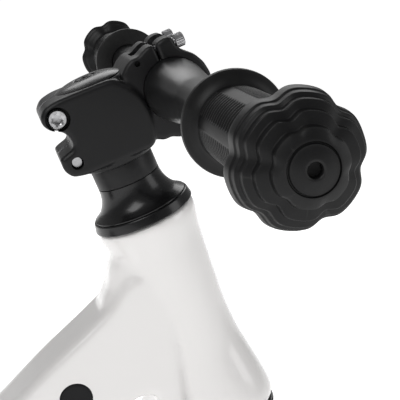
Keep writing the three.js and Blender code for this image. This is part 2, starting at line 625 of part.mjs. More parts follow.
function saddleClamp() {
  const x = SADDLE_CLAMP_X;
  const rails = [-RAIL_Y, RAIL_Y].map((y) => (
    move(rod(RAIL_R + GAP, -60, 60, 16).rotateY(Math.PI / 2), x, y, RAIL_Z)));
  const hole = () => move(rod(3.5, -30, 30, 14), x - 14.5, 0, RAIL_Z);
  const width = RAIL_Y + 6;
  const lower = join(block([x - 21, x + 17], [-width, width], [RAIL_Z - 6.9, RAIL_Z - 0.6]));
  add('saddle_clamp_lower', cut(lower, ...rails, hole()), 'alloy');
  const upper = join(block([x - 21, x + 17], [-width, width], [RAIL_Z + 0.6, RAIL_Z + 6.2]));
  add('saddle_clamp_upper', cut(upper, ...rails, hole()), 'alloy');
  const screw = capScrew(6, 5, 3.2, 22.5, 2.8).rotateX(Math.PI);
  add('saddle_clamp_bolt', move(screw, x - 14.5, 0, RAIL_Z - 15.5), 'steel');
  const nut = cut(join(rod(6.5, 6.5, 11.5, 6)), rod(3.5, 0, 20, 12));
  add('saddle_clamp_nut', move(nut, x - 14.5, 0, RAIL_Z), 'steel');
}

function saddleStations() {
  // [x, half width, underside z, pad height]
  return [[-37, 6, 300, 9], [-44, 17, 299, 17], [-60, 24, 298.4, 22], [-90, 28, 298, 24], [-120, 35, 298, 25],
    [-150, 46, 298.6, 26], [-180, 58, 300, 28], [-206, 63, 302, 29], [-226, 57, 305, 27], [-238, 40, 308, 21],
    [-243, 16, 310, 12]];
}

function saddle() {
  const shellThickness = 4.5;
  const across = 10;
  const half = (stations, low, high) => stations.map(([x, wide, z, tall]) => {
    const ringPoints = [];
    for (let i = 0; i <= across; i += 1) {
      const angle = Math.PI * i / across;
      const y = wide * Math.sign(Math.cos(angle)) * Math.abs(Math.cos(angle)) ** 0.72;
      ringPoints.push(new THREE.Vector3(x, y, high(z, tall, Math.sin(angle) ** 0.62, y)));
    }
    for (let i = across - 1; i > 0; i -= 1) {
      const y = ringPoints[i].y;
      ringPoints.push(new THREE.Vector3(x, y, low(z, tall, y)));
    }
    return ringPoints;
  });
  const stations = saddleStations();
  const droop = (y) => -0.0016 * y * y;
  const pad = half(stations, (z, tall, y) => z + shellThickness + droop(y),
    (z, tall, rise, y) => z + shellThickness + droop(y) + tall * rise);
  add('saddle_pad', loft(pad), 'black');
  const inset = stations.slice(1, -1).map(([x, wide, z, tall]) => [x, wide - 2, z, tall]);
  const shell = half(inset, (z, tall, y) => z + droop(y), (z, tall, rise, y) => (
    z + droop(y) + (shellThickness - 2 * GAP) * Math.min(1, rise * 1.6)));
  const boss = [block([-232, -206], [-29, 29], [RAIL_Z + 11.2, 304]),
    block([-76, -58], [-9, 9], [RAIL_Z + 9.2, 301])];
  const shellBody = join(loft(shell), ...boss);
  const paths = railPaths();
  add('saddle_shell', cut(shellBody, ...paths.map((path) => railTube(path, RAIL_R + GAP))), 'black');
  add('saddle_rails', geometryOf(join(...paths.map((path) => railTube(path, RAIL_R)))), 'steel');
}

function railPaths() {
  const rear = [[-219, RAIL_Y, RAIL_Z + 14], [-212, RAIL_Y, RAIL_Z + 12], [-200, RAIL_Y, RAIL_Z + 5],
    [-180, RAIL_Y, RAIL_Z], [-160, RAIL_Y, RAIL_Z], [-150, RAIL_Y, RAIL_Z], [-130, RAIL_Y, RAIL_Z],
    [-114, RAIL_Y, RAIL_Z], [-106, RAIL_Y, RAIL_Z], [-92, RAIL_Y - 4, RAIL_Z + 3], [-76, 8, RAIL_Z + 11],
    [-67, 0, RAIL_Z + 14]];
  const points = rear.concat(rear.slice(0, -1).reverse().map(([x, y, z]) => [x, -y, z]));
  return [points.map(([x, y, z]) => new THREE.Vector3(x, y, z))];
}

function railTube(points, radius) {
  const curve = new THREE.CatmullRomCurve3(points, false, 'centripetal');
  const section = new THREE.Shape();
  section.absarc(0, 0, radius, 0, 2 * Math.PI, false);
  return new THREE.ExtrudeGeometry(section, { steps: 36, extrudePath: curve, curveSegments: 5 });
}

frame();
plugs();
headset();
fork();
stem();
faceplate();
stemFasteners();
handlebar();
grips();
wheels();
seatClamp();
seatpost();
saddleClamp();
saddle();

export default parts;
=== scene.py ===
import json
import math

import bmesh
import bpy
from mathutils import Matrix, Vector
from mathutils.bvhtree import BVHTree


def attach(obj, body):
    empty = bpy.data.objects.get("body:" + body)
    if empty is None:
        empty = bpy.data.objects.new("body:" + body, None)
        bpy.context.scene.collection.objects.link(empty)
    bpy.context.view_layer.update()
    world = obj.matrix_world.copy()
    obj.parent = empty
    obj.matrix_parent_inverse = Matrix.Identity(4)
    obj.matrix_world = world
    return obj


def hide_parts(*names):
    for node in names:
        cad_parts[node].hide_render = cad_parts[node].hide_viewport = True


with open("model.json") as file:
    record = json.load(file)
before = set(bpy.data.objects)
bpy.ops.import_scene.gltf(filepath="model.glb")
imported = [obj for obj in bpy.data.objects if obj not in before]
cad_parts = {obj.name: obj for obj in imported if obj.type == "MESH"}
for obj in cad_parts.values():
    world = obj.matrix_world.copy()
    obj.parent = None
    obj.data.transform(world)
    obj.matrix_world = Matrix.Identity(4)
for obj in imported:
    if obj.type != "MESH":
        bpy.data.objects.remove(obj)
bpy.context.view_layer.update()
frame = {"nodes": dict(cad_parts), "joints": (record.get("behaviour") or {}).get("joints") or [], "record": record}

scene = bpy.context.scene
record = frame["record"]
print("frame loaded")


# camera

cameraValues = {
    "place": (0.06038, -0.50618, 0.57181),
    "look": (0.20851, 0.95128, -0.22712),
    "right": (0.97625, -0.2164, -0.01016),
    "lens": 88.6,
}


def makeCamera(values):
    look = Vector(values["look"]).normalized()
    right = Vector(values["right"])
    right = (right - look * right.dot(look)).normalized()
    up = right.cross(look)
    data = bpy.data.cameras.new("camera")
    data.lens = values["lens"]
    data.sensor_width = 36
    data.clip_start = 0.02
    data.clip_end = 200
    camera = bpy.data.objects.new("camera", data)
    scene.collection.objects.link(camera)
    turn = Matrix((right, up, -look)).transposed().to_4x4()
    camera.matrix_world = Matrix.Translation(values["place"]) @ turn
    scene.camera = camera


makeCamera(cameraValues)


# node writing

class Wire:
    # one socket, so that shader maths reads as sums
    def __init__(self, finish, socket):
        self.finish = finish
        self.socket = socket

    def sum(self, operation, first, second):
        return self.finish.node("ShaderNodeMath", {"operation": operation}, {0: first, 1: second})

    def __add__(self, other):
        return self.sum("ADD", self, other)

    def __radd__(self, other):
        return self.sum("ADD", other, self)

    def __sub__(self, other):
        return self.sum("SUBTRACT", self, other)

    def __rsub__(self, other):
        return self.sum("SUBTRACT", other, self)

    def __mul__(self, other):
        return self.sum("MULTIPLY", self, other)

    def __rmul__(self, other):
        return self.sum("MULTIPLY", other, self)


class Finish:
    # one material and its nodes
    def __init__(self, name):
        self.material = bpy.data.materials.new(name)
        self.material.use_nodes = True
        self.tree = self.material.node_tree
        self.tree.nodes.clear()

    def node(self, kind, settings=None, sockets=None, output=0):
        made = self.tree.nodes.new(kind)
        for key, value in (settings or {}).items():
            setattr(made, key, value)
        for key, value in (sockets or {}).items():
            if isinstance(value, Wire):
                self.tree.links.new(value.socket, made.inputs[key])
            else:
                made.inputs[key].default_value = value
        return Wire(self, made.outputs[output])

    def place(self, stretch=(1, 1, 1)):
        own = self.node("ShaderNodeTexCoord", output="Object")
        return self.node("ShaderNodeVectorMath", {"operation": "MULTIPLY"}, {0: own, 1: stretch})

    def noise(self, scale, detail=3, stretch=(1, 1, 1), rough=0.55):
        sockets = {"Vector": self.place(stretch), "Scale": scale, "Detail": detail, "Roughness": rough}
        return self.node("ShaderNodeTexNoise", None, sockets, "Fac")

    def cells(self, scale, feature="F1"):
        sockets = {"Vector": self.place(), "Scale": scale}
        return self.node("ShaderNodeTexVoronoi", {"feature": feature}, sockets, "Distance")

    def spread(self, value, low, high, out=(0.0, 1.0)):
        sockets = {"Value": value, "From Min": low, "From Max": high, "To Min": out[0], "To Max": out[1]}
        return self.node("ShaderNodeMapRange", {"clamp": True}, sockets)

    def edges(self, low=0.52, high=0.6):
        # the surface's pointiness: on the black metals it marks edge wear; on rubber it places a painted highlight
        # on rims and a painted shade in hollows
        edgeMask = self.node("ShaderNodeNewGeometry", output="Pointiness")
        return self.spread(edgeMask, low, high)

    def colour(self, part, first, second):
        sockets = {0: part, 6: (*first, 1), 7: (*second, 1)}
        return self.node("ShaderNodeMix", {"data_type": "RGBA"}, sockets, 2)

    def tint(self, part, under, over):
        sockets = {0: part, 6: under, 7: (*over, 1)}
        return self.node("ShaderNodeMix", {"data_type": "RGBA"}, sockets, 2)

    def bump(self, height, strength, depth):
        return self.node("ShaderNodeBump", None, {"Height": height, "Strength": strength,
                                                  "Distance": depth})

    def close(self, sockets):
        shader = self.node("ShaderNodeBsdfPrincipled", None, sockets)
        out = self.tree.nodes.new("ShaderNodeOutputMaterial")
        self.tree.links.new(shader.socket, out.inputs["Surface"])
        return self.material


# finishes

paintValues = {"light": (0.78, 0.765, 0.755), "shade": (0.75, 0.735, 0.727), "rough": 0.18, "peel": 0.04}


def castPaint():
    f = Finish("cast_paint_white")
    cloud = f.noise(22, 4)
    peel = f.noise(620, 2)
    dust = f.spread(f.noise(1900, 2), 0.68, 0.8)
    base = f.tint(dust * 0.12, f.colour(cloud, paintValues["shade"], paintValues["light"]),
                  (0.5, 0.48, 0.45))
    return f.close({
        "Base Color": base,
        "Roughness": paintValues["rough"] + cloud * 0.08,
        "Coat Weight": 0.55, "Coat Roughness": 0.08, "Specular IOR Level": 0.42,
        "Normal": f.bump(peel, paintValues["peel"], 0.0002),
    })


def blackMetal(name, dark, pale, rough, grain, grainDepth, shine, coat=0.0, wear=0.18):
    f = Finish(name)
    cloud = f.noise(38, 4)
    blast = f.noise(grain, 2)
    edgeMask = f.edges() * f.spread(f.noise(260, 3), 0.42, 0.62) * wear
    base = f.tint(edgeMask, f.colour(cloud, dark, pale), (0.22, 0.22, 0.225))
    return f.close({
        "Base Color": base,
        "Roughness": rough - 0.05 + f.noise(170, 3) * 0.1 - edgeMask * 0.12,
        "Metallic": edgeMask * 0.8,
        "Coat Weight": coat, "Coat Roughness": 0.12, "Specular IOR Level": shine,
        "Normal": f.bump(blast, 0.25, grainDepth),
    })


def rubber(name, dark, pale, rough, grain, grainDepth, shine):
    f = Finish(name)
    cloud = f.noise(45, 5)
    skin = f.noise(grain, 3) + f.cells(grain * 0.6) * 0.4
    bloom = f.spread(f.noise(130, 5), 0.5, 0.75)
    hollowShade = 1 - f.edges(0.4, 0.49)
    # real bloom on the rubber, plus a painted highlight on the pointy rims of ribs, steps and tread, lightens the
    # base towards dark grey
    base = f.tint(bloom * 0.25 + f.edges(0.515, 0.6) * 0.6, f.colour(cloud, dark, pale),
                  (0.024, 0.024, 0.0235))
    # painted shade: the hollows of ribs, steps and tread are darkened towards near black
    base = f.tint(hollowShade * 0.75, base, (0.0015, 0.0015, 0.0015))
    return f.close({
        "Base Color": base,
        "Roughness": rough - 0.06 + cloud * 0.12 + hollowShade * 0.2,
        "Specular IOR Level": shine,
        "Normal": f.bump(skin, 0.35, grainDepth),
    })


def mouldedPlastic(name, dark, pale, rough, grain, shine):
    f = Finish(name)
    cloud = f.noise(30, 4)
    spark = f.cells(grain) + f.noise(grain * 1.7, 2) * 0.6
    scuffs = f.spread(f.noise(90, 6, (1, 4, 1)), 0.62, 0.74)
    base = f.tint(scuffs * 0.18, f.colour(cloud, dark, pale), (0.075, 0.075, 0.077))
    return f.close({
        "Base Color": base,
        "Roughness": rough - 0.05 + cloud * 0.08 + scuffs * 0.08,
        "Specular IOR Level": shine,
        "Normal": f.bump(spark, 0.22, 0.00012),
    })


def saddleLeather():
    f = Finish("saddle_cover_grain")
    pebbles = f.cells(620, "DISTANCE_TO_EDGE")
    fine = f.noise(2400, 3)
    creases = f.spread(pebbles, 0.0, 0.22)
    cloud = f.noise(28, 4)
    # painted shade: the grain's creases, where the bump sinks the surface, are darkened towards near black
    base = f.tint((1 - creases) * 0.5, f.colour(cloud, (0.019, 0.019, 0.02), (0.03, 0.03, 0.031)),
                  (0.008, 0.008, 0.008))
    return f.close({
        "Base Color": base,
        "Roughness": 0.5 + (1 - creases) * 0.16 + cloud * 0.05,
        "Specular IOR Level": 0.34, "Sheen Weight": 0.05, "Sheen Roughness": 0.5,
        "Normal": f.bump(creases + fine * 0.25, 0.5, 0.00025),
    })


def brightMetal(name, light, shade, rough, stretch=(1, 1, 1), lines=900):
    f = Finish(name)
    brushed = f.noise(lines, 3, stretch)
    stain = f.spread(f.noise(210, 5), 0.55, 0.78)
    base = f.tint(stain * 0.35, f.colour(brushed, shade, light), (0.2, 0.19, 0.18))
    return f.close({
        "Base Color": base,
        "Metallic": 1.0,
        "Roughness": rough - 0.04 + brushed * 0.12 + stain * 0.12,
        "Normal": f.bump(brushed, 0.18, 0.00005),
    })


def thread():
    f = Finish("stitch_thread")
    twist = f.noise(3200, 2, (1, 2.5, 1))
    return f.close({
        "Base Color": f.colour(twist, (0.03, 0.03, 0.031), (0.075, 0.075, 0.078)),
        "Roughness": 0.7 + twist * 0.15,
        "Specular IOR Level": 0.25,
        "Normal": f.bump(twist, 0.6, 0.00015),
    })


finishes = {
    "paint": castPaint(),
    "anodised": blackMetal("anodised_black", (0.005, 0.005, 0.0055), (0.008, 0.008, 0.0085), 0.4, 5200,
                           0.00003, 0.24),
    "gloss": blackMetal("lacquer_black", (0.003, 0.003, 0.0035), (0.006, 0.006, 0.0065), 0.26, 900,
                        0.000002,
                        0.32, 0.12, 0.0),
    "bar": blackMetal("bar_black", (0.005, 0.005, 0.0055), (0.008, 0.008, 0.0085), 0.3, 2600, 0.000006,
                      0.4, 0.1, 0.05),
    "grip": rubber("grip_rubber", (0.003, 0.003, 0.0033), (0.006, 0.006, 0.0064), 0.4, 2600, 0.00007, 0.22),
    "tyre": rubber("tyre_rubber", (0.016, 0.016, 0.016), (0.027, 0.027, 0.027), 0.74, 1700, 0.0002, 0.3),
    "wheel": mouldedPlastic("wheel_nylon", (0.013, 0.013, 0.014), (0.02, 0.02, 0.021), 0.44, 1500, 0.34),
    "shell": mouldedPlastic("saddle_shell_plastic", (0.014, 0.014, 0.015), (0.022, 0.022, 0.023), 0.5,
                            1900, 0.32),
    "plug": mouldedPlastic("plug_rubber", (0.004, 0.004, 0.005), (0.009, 0.009, 0.01), 0.62, 2100, 0.2),
    "leather": saddleLeather(),
    "bolt": brightMetal("bolt_steel", (0.5, 0.5, 0.51), (0.3, 0.3, 0.31), 0.22),
    "bearing": brightMetal("bearing_steel", (0.56, 0.57, 0.59), (0.4, 0.41, 0.43), 0.3, (1, 6, 1), 700),
    "tube": brightMetal("tube_steel", (0.3, 0.3, 0.31), (0.2, 0.2, 0.21), 0.34, (1, 1, 5), 600),
    "cut": brightMetal("machined_alloy", (0.62, 0.62, 0.63), (0.45, 0.45, 0.46), 0.4, (1, 5, 1), 1400),
    "thread": thread(),
}
print("finishes made:", len(finishes))


# places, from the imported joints

def jointNamed(name):
    return next(j for j in frame["joints"] if j["name"] == name)


def placeAt(origin, axis):
    # millimetres in, metres out; local z runs along the axis, local y to the left
    w = Vector(axis).normalized()
    v = Vector((0, 1, 0))
    turn = Matrix((v.cross(w), v, w)).transposed().to_4x4()
    return Matrix.Translation(origin) @ turn @ Matrix.Scale(0.001, 4)


def sideways(place, side=1):
    # a turned shape's own axis becomes the left or right direction
    return place @ Matrix(((1, 0, 0, 0), (0, 0, side, 0), (0, -side, 0, 0), (0, 0, 0, 1)))


def forwards(place):
    return place @ Matrix(((0, 0, 1, 0), (1, 0, 0, 0), (0, 1, 0, 0), (0, 0, 0, 1)))


def shifted(place, x, y, z):
    return place @ Matrix.Translation((x, y, z))


steerAxis = jointNamed("steering")["axis"]
steerPlace = placeAt(jointNamed("steering")["pos_m"], steerAxis)
clampPlace = placeAt(jointNamed("handlebar_roll")["pos_m"], steerAxis)
seatAxis = jointNamed("seat_height")["axis"]
leverPlace = placeAt(jointNamed("seat_clamp_lever")["pos_m"], seatAxis)
leverOffset = Vector((-27, 14.6, 43.5))          # lever's pin from the foot of the seat tube's axis
seatPlace = shifted(leverPlace, *(-leverOffset))
frontPlace = placeAt(jointNamed("front_wheel_spin")["pos_m"], (0, 0, 1))
rearPlace = placeAt(jointNamed("rear_wheel_spin")["pos_m"], (0, 0, 1))
worldPlace = Matrix.Scale(0.001, 4)


# mesh writing, all in millimetres of a place

def flowing(points, perSpan=8, ring=False):
    # smooth line through the points, spaced by their own distances
    found = [Vector(p) for p in points]
    count = len(found)

    def at(i):
        return found[i % count] if ring else found[min(max(i, 0), count - 1)]

    line = []
    for i in range(count if ring else count - 1):
        before, start, stop, after = at(i - 1), at(i), at(i + 1), at(i + 2)
        span = (stop - start).length
        leave = (stop - before) * (span / max((start - before).length + span, 1e-9))
        arrive = (after - start) * (span / max((after - stop).length + span, 1e-9))
        for k in range(perSpan):
            t = k / perSpan
            line.append((2 * t ** 3 - 3 * t ** 2 + 1) * start + (t ** 3 - 2 * t ** 2 + t) * leave
                        + (3 * t ** 2 - 2 * t ** 3) * stop + (t ** 3 - t ** 2) * arrive)
    if not ring:
        line.append(found[-1])
    return line


def softened(points, radius=0.5, steps=3, ring=False):
    # rounds each corner of a profile
    count = len(points)
    line = []
    for i, point in enumerate(points):
        if not ring and i in (0, count - 1):
            line.append(tuple(point))
            continue
        corner = Vector(point)
        back = Vector(points[i - 1]) - corner
        on = Vector(points[(i + 1) % count]) - corner
        reach = min(radius, back.length * 0.45, on.length * 0.45)
        start = corner + back.normalized() * reach
        stop = corner + on.normalized() * reach
        for k in range(steps + 1):
            t = k / steps
            line.append(tuple(start.lerp(corner, t).lerp(corner.lerp(stop, t), t)))
    return line


def meshOf(bm, name="work"):
    bmesh.ops.remove_doubles(bm, verts=bm.verts, dist=1e-5)
    bmesh.ops.recalc_face_normals(bm, faces=bm.faces)
    mesh = bpy.data.meshes.new(name)
    bm.to_mesh(mesh)
    bm.free()
    return mesh


def turned(profile, steps=96, warp=None):
    # profile of (radius, height); it starts and ends on the axis or closes on itself
    bm = bmesh.new()
    rows = []
    for radius, height in profile:
        if radius < 1e-6:
            rows.append([bm.verts.new((0, 0, height))] * steps)
            continue
        row = []
        for i in range(steps):
            angle = 2 * math.pi * i / steps
            r, h = warp(radius, height, angle) if warp else (radius, height)
            row.append(bm.verts.new((r * math.cos(angle), r * math.sin(angle), h)))
        rows.append(row)
    if profile[0][0] > 1e-6:
        rows.append(rows[0])
    for lower, upper in zip(rows, rows[1:]):
        for i in range(steps):
            j = (i + 1) % steps
            corners = list(dict.fromkeys([lower[i], lower[j], upper[j], upper[i]]))
            if len(corners) > 2:
                bm.faces.new(corners)
    return meshOf(bm)


def rod(radius, low, high, steps=64):
    return turned([(0, low), (radius, low), (radius, high), (0, high)], steps)


def ringOf(inner, outer, low, high, edge=0.4, steps=96):
    return turned(softened([(inner, low), (outer, low), (outer, high), (inner, high)], edge, 3, True),
                  steps)


def lofted(rings):
    bm = bmesh.new()
    rows = [[bm.verts.new(p) for p in ring] for ring in rings]
    count = len(rings[0])
    for lower, upper in zip(rows, rows[1:]):
        for i in range(count):
            j = (i + 1) % count
            bm.faces.new([lower[i], lower[j], upper[j], upper[i]])
    bm.faces.new(rows[0][::-1])
    bm.faces.new(rows[-1])
    return meshOf(bm)


def egg(count, power):
    # unit rounded section, as (across, up) pairs
    pairs = []
    for i in range(count):
        c, s = math.cos(2 * math.pi * i / count), math.sin(2 * math.pi * i / count)
        pairs.append((math.copysign(abs(c) ** (2 / power), c), math.copysign(abs(s) ** (2 / power), s)))
    return pairs


def block(x, y, z):
    bm = bmesh.new()
    bmesh.ops.create_cube(bm, size=1)
    size = (x[1] - x[0], y[1] - y[0], z[1] - z[0])
    bmesh.ops.scale(bm, vec=size, verts=bm.verts)
    bmesh.ops.translate(bm, vec=((x[0] + x[1]) / 2, (y[0] + y[1]) / 2, (z[0] + z[1]) / 2), verts=bm.verts)
    return meshOf(bm)


def plate(outline, halfWidth, edge, holes=(), rounds=4):
    # outline of (x, z), as thick as twice the half width along y, with its edges rounded off
    data = bpy.data.curves.new("outline", "CURVE")
    data.dimensions = "2D"
    data.fill_mode = "BOTH"
    data.extrude = halfWidth - edge
    data.bevel_depth = edge
    data.bevel_resolution = rounds
    data.offset = -edge
    for line in (outline, *holes):
        spline = data.splines.new("POLY")
        spline.points.add(len(line) - 1)
        for point, (x, z) in zip(spline.points, line):
            point.co = (x, z, 0, 1)
        spline.use_cyclic_u = True
    work = bpy.data.objects.new("outline", data)
    scene.collection.objects.link(work)
    bpy.context.view_layer.update()
    raw = bpy.data.meshes.new_from_object(work.evaluated_get(bpy.context.evaluated_depsgraph_get()))
    bpy.data.objects.remove(work)
    bm = bmesh.new()
    bm.from_mesh(raw)
    bmesh.ops.remove_doubles(bm, verts=bm.verts, dist=0.01)
    for v in bm.verts:
        v.co = Vector((v.co.x, -v.co.z, v.co.y))
    return meshOf(bm)


def tube(points, radius, steps=20):
    # round bar along a line, closed at both ends
    rings = []
    side = Vector((0, 0, 1))
    for i, point in enumerate(points):
        run = (points[min(i + 1, len(points) - 1)] - points[max(i - 1, 0)]).normalized()
        side = (side - run * side.dot(run)).normalized()
        other = run.cross(side)
        rings.append([point + radius * (math.cos(a) * side + math.sin(a) * other)
                      for a in (2 * math.pi * k / steps for k in range(steps))])
    return lofted(rings)


def together(*meshes):
    bm = bmesh.new()
    for mesh in meshes:
        bm.from_mesh(mesh)
    joined = bpy.data.meshes.new("work")
    bm.to_mesh(joined)
    bm.free()
    return joined


def moved(mesh, matrix):
    mesh.transform(matrix)
    return mesh


def baked(mesh, *steps):
    # the mesh after these modifiers, each a kind and its settings
    work = bpy.data.objects.new("work", mesh)
    scene.collection.objects.link(work)
    for kind, settings in steps:
        modifier = work.modifiers.new(kind.lower(), kind)
        for key, value in settings.items():
            setattr(modifier, key, value)
    bpy.context.view_layer.update()
    made = bpy.data.meshes.new_from_object(work.evaluated_get(bpy.context.evaluated_depsgraph_get()))
    bpy.data.objects.remove(work)
    return made


def cast(mesh, voxel, passes=6):
    # overlapping solids flow into one skin with soft corners
    return baked(mesh, ("REMESH", {"mode": "VOXEL", "voxel_size": voxel}),
                 ("SMOOTH", {"factor": 0.5, "iterations": passes}))


def carved(mesh, *cutters):
    for cutter in cutters:
        tool = bpy.data.objects.new("cutter", cutter)
        scene.collection.objects.link(tool)
        mesh = baked(mesh, ("BOOLEAN", {"operation": "DIFFERENCE", "solver": "EXACT", "object": tool}))
        bpy.data.objects.remove(tool)
    return mesh


bodyOf = {node: body for body, nodes in record["behaviour"]["bodies"].items() for node in nodes}
madePieces = {}


def addPiece(name, mesh, place, finish, stands=(), body=None, sharp=32):
    mesh.transform(place)
    piece = bpy.data.objects.new(name, mesh)
    scene.collection.objects.link(piece)
    mesh.materials.clear()
    for key in (finish if isinstance(finish, tuple) else (finish,)):
        mesh.materials.append(finishes[key])
    mesh.shade_smooth()
    mesh.set_sharp_from_angle(angle=math.radians(sharp))
    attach(piece, body or bodyOf[stands[0]])
    if stands:
        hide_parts(*stands)
    madePieces[name] = piece
    return piece


def hexWall(radius, angle):
    # wall of a hexagon socket, by angle, for its corner-to-flat size
    return radius * math.cos(math.pi / 6) / math.cos((angle + math.pi / 6) % (math.pi / 3) - math.pi / 6)


def capScrew(head, headLength, shank, shankLength, key, flutes=24, thread=0.0):
    # head above zero, shank below, hexagon socket in the head
    floor = headLength * 0.12
    ring = [(0, floor), (key, floor + 0.3), (key, headLength - 0.35), (key + 0.35, headLength),
            (head - 0.7, headLength), (head, headLength - 0.6), (head, headLength - 0.8),
            (head, headLength / 2),
            (head, 0.6), (head, 0.35), (head - 0.35, 0), (shank, 0)]
    if thread:
        turns = int((shankLength - 2) / 0.8)
        for k in range(turns):
            ring += [(shank, -1.2 - 0.8 * k), (shank - thread, -1.6 - 0.8 * k)]
    ring += [(shank, -shankLength + 0.5), (shank - 0.5, -shankLength), (0, -shankLength)]

    def warp(radius, height, angle):
        if height > floor and radius <= key + 0.01:
            return hexWall(radius, angle), height
        if 0.5 < height < headLength - 0.5 and radius > head - 0.1:
            return radius - 0.16 * (0.5 - 0.5 * math.cos(flutes * angle)), height
        return radius, height

    return turned(ring, 144, warp)


# cast frame

frameValues = {"voxel": 1.5, "passes": 18, "panelHalf": 20, "panelEdge": 4}


def panelOutline():
    top = flowing([(150, 420), (129, 414), (118, 399.5), (105, 387), (82.4, 367), (59.6, 344.5), (28, 314),
                   (-6, 283), (-34, 256), (-62, 237), (-86, 226), (-108, 222)], 5)
    low = flowing([(-117, 208), (-112, 190), (-101, 172), (-80, 172), (-45, 175), (0, 183), (40, 198),
                   (80, 221), (112, 250), (138, 284), (160, 322)], 5)
    window = flowing([(143, 346), (128, 308), (101, 272), (70, 244), (36, 223), (6, 212), (-12, 212),
                      (-14, 222), (8, 242), (42, 268), (80, 299), (110, 327), (132, 347)], 4, True)
    return [tuple(p) for p in top + low], [tuple(p) for p in window]


def headTube():
    outside = flowing([(25.6, -158), (27, -153), (26, -141), (23.9, -127), (22.2, -114), (21.7, -96),
                       (22.6, -80), (23.6, -66), (25, -50), (27, -39), (27.3, -34.5), (26.8, -32.5)], 3)
    profile = [(0, -158)] + [tuple(p) for p in outside] + [(0, -32.5)]
    return moved(turned(profile, 96), worldPlace.inverted() @ steerPlace)


def chainStay(side):
    # (x, z, middle y, half height, half thickness)
    stations = flowing([(-92, 191, 6, 18, 9), (-98, 190, 9, 18, 9), (-116, 187, 17, 18, 11),
                        (-132, 184, 28, 16, 9),
                        (-148, 180, 36.5, 14, 6.5), (-185, 172, 40, 12, 5.6), (-240, 160, 42.5, 11, 5.2),
                        (-272, 154.5, 43.3, 13, 5), (-290, 151, 43.3, 15, 5), (-304, 148, 43.3, 11, 5),
                        (-309, 147, 43.3, 5, 4)], 4)
    section = egg(24, 2.6)
    return lofted([[Vector((x + 0.22 * up * high, side * (y + across * thick), z + up * high))
                    for across, up in section] for x, z, y, high, thick in stations])


def makeFrame(values):
    outline, window = panelOutline()
    panel = plate(outline, values["panelHalf"], values["panelEdge"], [window], 2)
    gusset = plate(flowing([(150, 446), (127, 434), (120.5, 420), (119, 409), (115, 396), (122, 378),
                            (144, 384)], 5,
                           True), 17, 10, (), 4)
    seatTube = moved(rod(16.5, -36, 50), worldPlace.inverted() @ seatPlace)
    hub = worldPlace.inverted() @ rearPlace
    bosses = [moved(turned(softened([(0, 38.7), (13.5, 38.7), (13.5, 48), (0, 48)], 1.5)),
                    sideways(hub, side))
              for side in (1, -1)]
    raw = together(panel, gusset, headTube(), seatTube, chainStay(1), chainStay(-1), *bosses)
    skin = cast(raw, values["voxel"], values["passes"])
    steer = worldPlace.inverted() @ steerPlace
    seat = worldPlace.inverted() @ seatPlace
    cutters = [moved(rod(17.5, -163, -28), steer), moved(rod(21.2, -42.3, -28), steer),
               moved(rod(21.2, -170, -150.7), steer), moved(rod(13, -56, 70), seat),
               moved(block((-25, 0), (-1.5, 1.5), (28, 60)), seat), moved(rod(5.3, -60, 60), sideways(hub))]
    plugPlace = Matrix.Translation((98.9, 0, 351.6))
    for side in (1, -1):
        cutters.append(moved(rod(8.9, 17.2, 26, 48), sideways(plugPlace, side)))
    skin = carved(skin, *cutters)
    addPiece("frame_casting", skin, worldPlace, "paint", ["frame"], sharp=40)
    plug = softened([(0, 17.6), (8.6, 17.6), (8.6, 20), (7.6, 20.5), (3, 20.2), (0, 20.1)], 0.5)
    for side, node in ((1, "beam_plug_left"), (-1, "beam_plug_right")):
        addPiece(node + "_cap", turned(plug, 64), worldPlace @ sideways(plugPlace, side), "plug", [node])
    print("frame made")


makeFrame(frameValues)


# fork

forkValues = {"voxel": 1.3, "passes": 8}


def forkBlade(side):
    # (u, v, w, half depth, half thickness) from the crown's middle to the fork end
    stations = flowing([(0, 0, -183, 19, 15), (0, 15, -184.5, 18.5, 14), (1, 27, -189, 17, 12),
                        (2, 36, -198, 15.5, 9.5),
                        (4, 39.5, -212, 14.5, 8), (10, 41, -260, 13, 7), (20, 42.5, -315, 12, 6),
                        (26, 43.3, -348, 12, 5), (28, 43.3, -362, 14, 5), (30, 43.3, -374, 9, 5),
                        (30.6, 43.3, -378, 4, 4)], 4)
    section = egg(28, 2.5)
    rings = []
    for i, (u, v, w, deep, thick) in enumerate(stations):
        back = stations[max(i - 1, 0)]
        on = stations[min(i + 1, len(stations) - 1)]
        run = Vector((0, on[1] - back[1], on[2] - back[2])).normalized()
        across = Vector((0, 0, 1)) if i == 0 else Vector((0, -run.z, run.y))
        points = [Vector((u + a * deep, v, w)) + across * (b * thick) for a, b in section]
        rings.append([Vector((p.x, side * p.y, p.z)) for p in points])
    return lofted(rings)


def makeFork(values):
    neck = flowing([(17, -196), (19, -184), (21, -174), (24, -166), (24.4, -162.7)], 5)
    crown = turned([(0, -196)] + [tuple(p) for p in neck] + [(0, -162.7)])
    ends = [moved(turned(softened([(0, 38.7), (13.5, 38.7), (13.5, 48), (0, 48)], 1.5)),
                  sideways(Matrix.Translation((28, 0, -362)), side)) for side in (1, -1)]
    skin = cast(together(crown, forkBlade(1), forkBlade(-1), *ends), values["voxel"], values["passes"])
    skin = carved(skin, rod(14.6, -183.3, -150), moved(rod(5.3, -60, 60),
                                                       sideways(Matrix.Translation((28, 0, -362)))))
    addPiece("fork_casting", skin, steerPlace, "paint", ["fork"], sharp=40)
    print("fork made")


makeFork(forkValues)


# headset, turned parts round the steering axis

